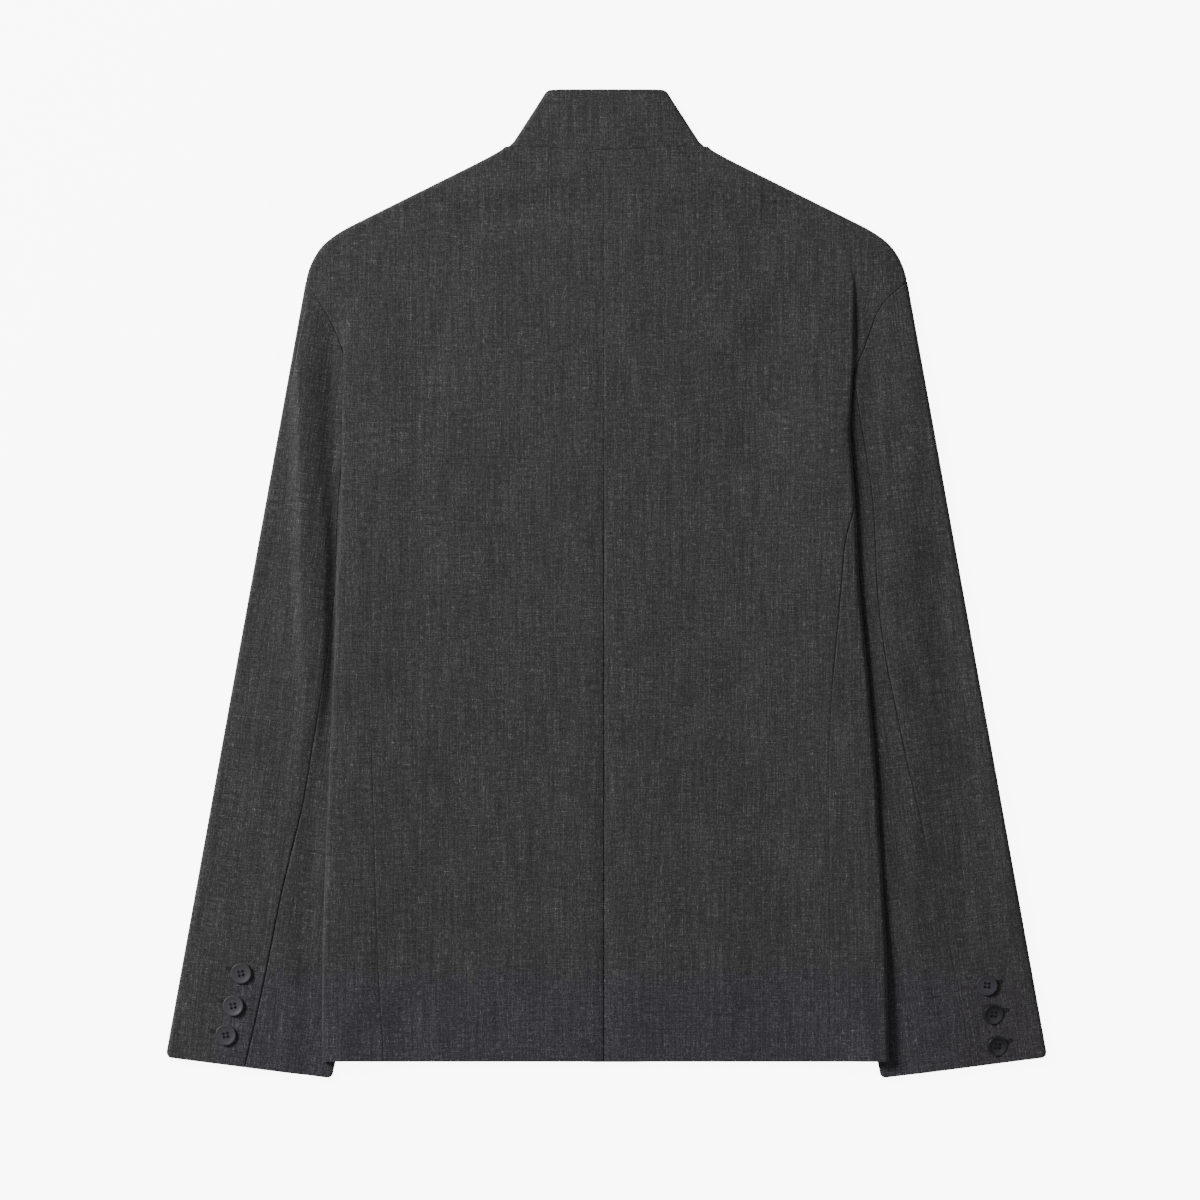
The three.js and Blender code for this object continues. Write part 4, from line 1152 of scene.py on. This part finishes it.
def thread_blank():
    """Sewing thread that crosses between the holes and ties round below the button."""
    add_cylinder = bpy.ops.mesh.primitive_cylinder_add
    strands = []
    for across, up in ((-1, 0), (1, 0), (0, -1), (0, 1)):
        turn = (math.pi / 2, 0, 0) if across else (0, math.pi / 2, 0)
        place = (across * HOLE_ACROSS * MM, up * HOLE_UP * MM, 1.6 * MM)
        strands.append(primitive(
            "strand", add_cylinder, turn=turn, vertices=10, radius=0.3 * MM, depth=3.1 * MM, location=place
        ))
    shank = primitive(
        "shank", add_cylinder, vertices=16, radius=1.6 * MM, depth=2.6 * MM, location=(0, 0, -0.4 * MM)
    )
    make_active(shank, *strands)
    bpy.ops.object.join()
    joined = active_object("thread_blank")
    apply_modifier(joined, "BEVEL", width=0.12 * MM, segments=2)
    bpy.ops.object.shade_smooth_by_angle(angle=SMOOTH_BELOW)
    return joined


def stretched_ring(length):
    """A buttonhole about its own middle: a ring of thread drawn out along X to length."""
    ring = primitive(
        "buttonhole_blank", bpy.ops.mesh.primitive_torus_add, major_radius=1.05 * MM,
        minor_radius=0.45 * MM, major_segments=24, minor_segments=10,
    )
    select_where("VERT", ring.data.vertices, lambda vertex: vertex.co.x > 0.01 * MM)
    bpy.ops.transform.translate(value=(length * MM, 0, 0))
    bpy.ops.object.mode_set(mode="OBJECT")
    bpy.ops.object.shade_smooth_by_angle(angle=SMOOTH_BELOW)
    return ring


def slit_blank(length):
    """The dark slit inside a buttonhole."""
    return primitive(
        "slit_blank", bpy.ops.mesh.primitive_cube_add, scale=(length * MM, 1.5 * MM, 0.6 * MM), size=1.0,
        location=(length / 2 * MM, 0, 0.05 * MM),
    )


def stitch_blank():
    stitch = primitive(
        "stitch_blank", bpy.ops.mesh.primitive_uv_sphere_add, scale=(1.25 * MM, 0.42 * MM, 0.34 * MM),
        segments=12, ring_count=8, radius=1.0,
    )
    bpy.ops.object.shade_smooth()
    return stitch


def placed_copy(blank, name, place, tilt):
    """A copy of a blank with its own mesh, turned by tilt and set at place, both in its mesh."""
    piece = new_object(name, blank.data.copy())
    piece.location = [value * MM for value in place]
    piece.rotation_euler = [math.radians(value) for value in tilt]
    make_active(piece)
    apply_transforms()
    return piece


def finish_piece(piece, material):
    piece.data.materials.clear()
    piece.data.materials.append(material)
    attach(piece, "root")


def on_sleeve(x, y):
    """Height of a sleeve's cloth at one place."""
    side = "left" if x < 0 else "right"
    creased = crease_height(np.array([[[x, y, 0.0]]]), SLEEVE_CREASES[side])[0, 0]
    return float(sleeve_top(side, np.array(abs(x)), np.array(y)) + creased)


BUTTON_LIFT = 0.55
BUTTON_TURN = {"left": 12.0, "right": -4.0}
BUTTONHOLE_LENGTH = 9.6
BUTTONHOLE_LIFT = 0.1
BUTTONHOLE_STARTS = 0.14  # share of its way from the button's middle


def make_buttons(materials, thread, hole_thread):
    blank = button_blank()
    threads = thread_blank()
    ring = stretched_ring(BUTTONHOLE_LENGTH)
    slit = slit_blank(BUTTONHOLE_LENGTH)
    for name, (x, y, tilt_x, tilt_y, finish) in BUTTONS.items():
        rest = on_sleeve(x, y)
        place = (x, y, rest + BUTTON_LIFT)
        tilt = (tilt_x, tilt_y, BUTTON_TURN["left" if x < 0 else "right"])
        button = placed_copy(blank, f"cuff_{name}", place, tilt)
        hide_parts(name)
        finish_piece(button, materials[finish])
        finish_piece(placed_copy(threads, f"cuff_{name}_thread", place, tilt), thread)
        across, up = BUTTONHOLES[name]
        way = (0.0, 0.0, math.degrees(math.atan2(up, across)))
        start = (x + across * BUTTONHOLE_STARTS, y + up * BUTTONHOLE_STARTS, rest + BUTTONHOLE_LIFT)
        finish_piece(placed_copy(ring, f"cuff_{name}_buttonhole", start, way), hole_thread)
        finish_piece(placed_copy(slit, f"cuff_{name}_slit", start, way), thread)
    for used in (blank, threads, ring, slit):
        bpy.data.objects.remove(used)


def make_stitch_rows(thread):
    """Rows of hand stitches, each a little aside and aslant of its row."""
    blank = stitch_blank()
    for name, (x0, y0, x1, y1, count) in STITCH_ROWS.items():
        way = math.degrees(math.atan2(y1 - y0, x1 - x0))
        row = []
        for k in range(count):
            x = mix(x0, x1, k / (count - 1)) + 0.3 * math.sin(k * 2.3)
            y = mix(y0, y1, k / (count - 1))
            lean = way + 14.0 * math.sin(k * 1.7)
            place = (x, y, on_sleeve(x, y) + 0.05)
            row.append(placed_copy(blank, f"{name}_{k + 1}", place, (0.0, 0.0, lean)))
        make_active(*row)
        bpy.ops.object.join()
        finish_piece(active_object(name), thread)
    bpy.data.objects.remove(blank)


# Floor, light and camera
LENS = 135.0
SENSOR = 36.0
PICTURE_WIDTH = 0.920
PICTURE_CENTRE = (-0.0050, -0.0123)
GARMENT_LEVEL = 0.008
FLOOR_SIZE = 12.0
FLOOR_LEVEL = -0.0006
FLOOR_GLOW = 8.0
WORLD_LIGHT = 0.2

# Area lights: place, size and power
LIGHTS = {"key": ((-2.35, 1.25, 1.8), 1.1, 150.0), "fill": ((1.4, -0.6, 3.0), 2.4, 14.0)}


def add_area_light(name, place, size, power):
    """A round light aimed at the middle of the garment."""
    light = bpy.data.lights.new(name, "AREA")
    light.shape = "DISK"
    light.size = size
    light.energy = power
    lamp = new_object(name, light)
    lamp.location = place
    lamp.rotation_euler = (-Vector(place)).to_track_quat("-Z", "Y").to_euler()


def make_surroundings():
    camera_data = bpy.data.cameras.new("camera")
    camera_data.lens = LENS
    camera_data.sensor_width = SENSOR
    camera = new_object("camera", camera_data)
    camera.location = (*PICTURE_CENTRE, PICTURE_WIDTH * LENS / SENSOR + GARMENT_LEVEL)
    bpy.context.scene.camera = camera
    bpy.ops.mesh.primitive_plane_add(size=FLOOR_SIZE, location=(0, 0, FLOOR_LEVEL))
    floor = active_object("floor")
    material, tree, shader = new_material("pale floor")
    seen = node_at(tree, "ShaderNodeLightPath")
    glow = times(tree, seen.outputs["Is Camera Ray"], FLOOR_GLOW)
    fill(
        tree, shader, Base_Color=(0.9, 0.9, 0.9, 1), Roughness=0.9, Emission_Color=(1, 1, 1, 1),
        Emission_Strength=glow,
    )
    floor.data.materials.append(material)
    for name, (place, size, power) in LIGHTS.items():
        add_area_light(name, place, size, power)
    world = bpy.data.worlds.new("studio")
    world.use_nodes = True
    fill(world.node_tree, world.node_tree.nodes["Background"], Color=(1, 1, 1, 1), Strength=WORLD_LIGHT)
    bpy.context.scene.world = world


make_surroundings()
grain_group = fine_grain()
cloth_body = cloth_material("heathered suiting", (0.0330, 0.0329, 0.0328), heathered_cloth(), cool_cast())

# Makers of the pieces of each side, with what a piece rests on
PANELS = (
    (make_back, "back", ("sleeve_under",)), (make_side_panel, "side", ("sleeve_under",)),
    (make_front, "front", ()), (make_sleeve_top, "sleeve_top", ()), (make_sleeve_under, "sleeve_under", ()),
)
for side in SIDES:
    for maker, part, lies_on in PANELS:
        made_piece = maker(side)
        made_piece.data.materials.append(cloth_body)
        declare(made_piece, f"{part}_{side}")
collar = make_collar()
collar.data.materials.append(cloth_body)
declare(collar, "collar")

# The cuff buttons are all alike. These are lit and shaded tones of one button: painted shade darkens the
# violet grey one a little and the dark one most, for buttons tilted away from the light.
button_tones_with_painted_shade = {
    "grey": button_material("grey button", (0.040, 0.039, 0.046), grain_group, 0.38),
    "violet": button_material("violet button in light painted shade", (0.027, 0.025, 0.036), grain_group, 0.36),
    "dark": button_material("button in deep painted shade", (0.012, 0.011, 0.015), grain_group, 0.26),
}
black_thread = thread_material("black thread", (0.006, 0.006, 0.008), grain_group)
dark_thread = thread_material("dark thread", (0.010, 0.010, 0.011), grain_group)
make_buttons(button_tones_with_painted_shade, black_thread, dark_thread)
make_stitch_rows(thread_material("pale thread", (0.085, 0.085, 0.085), grain_group))
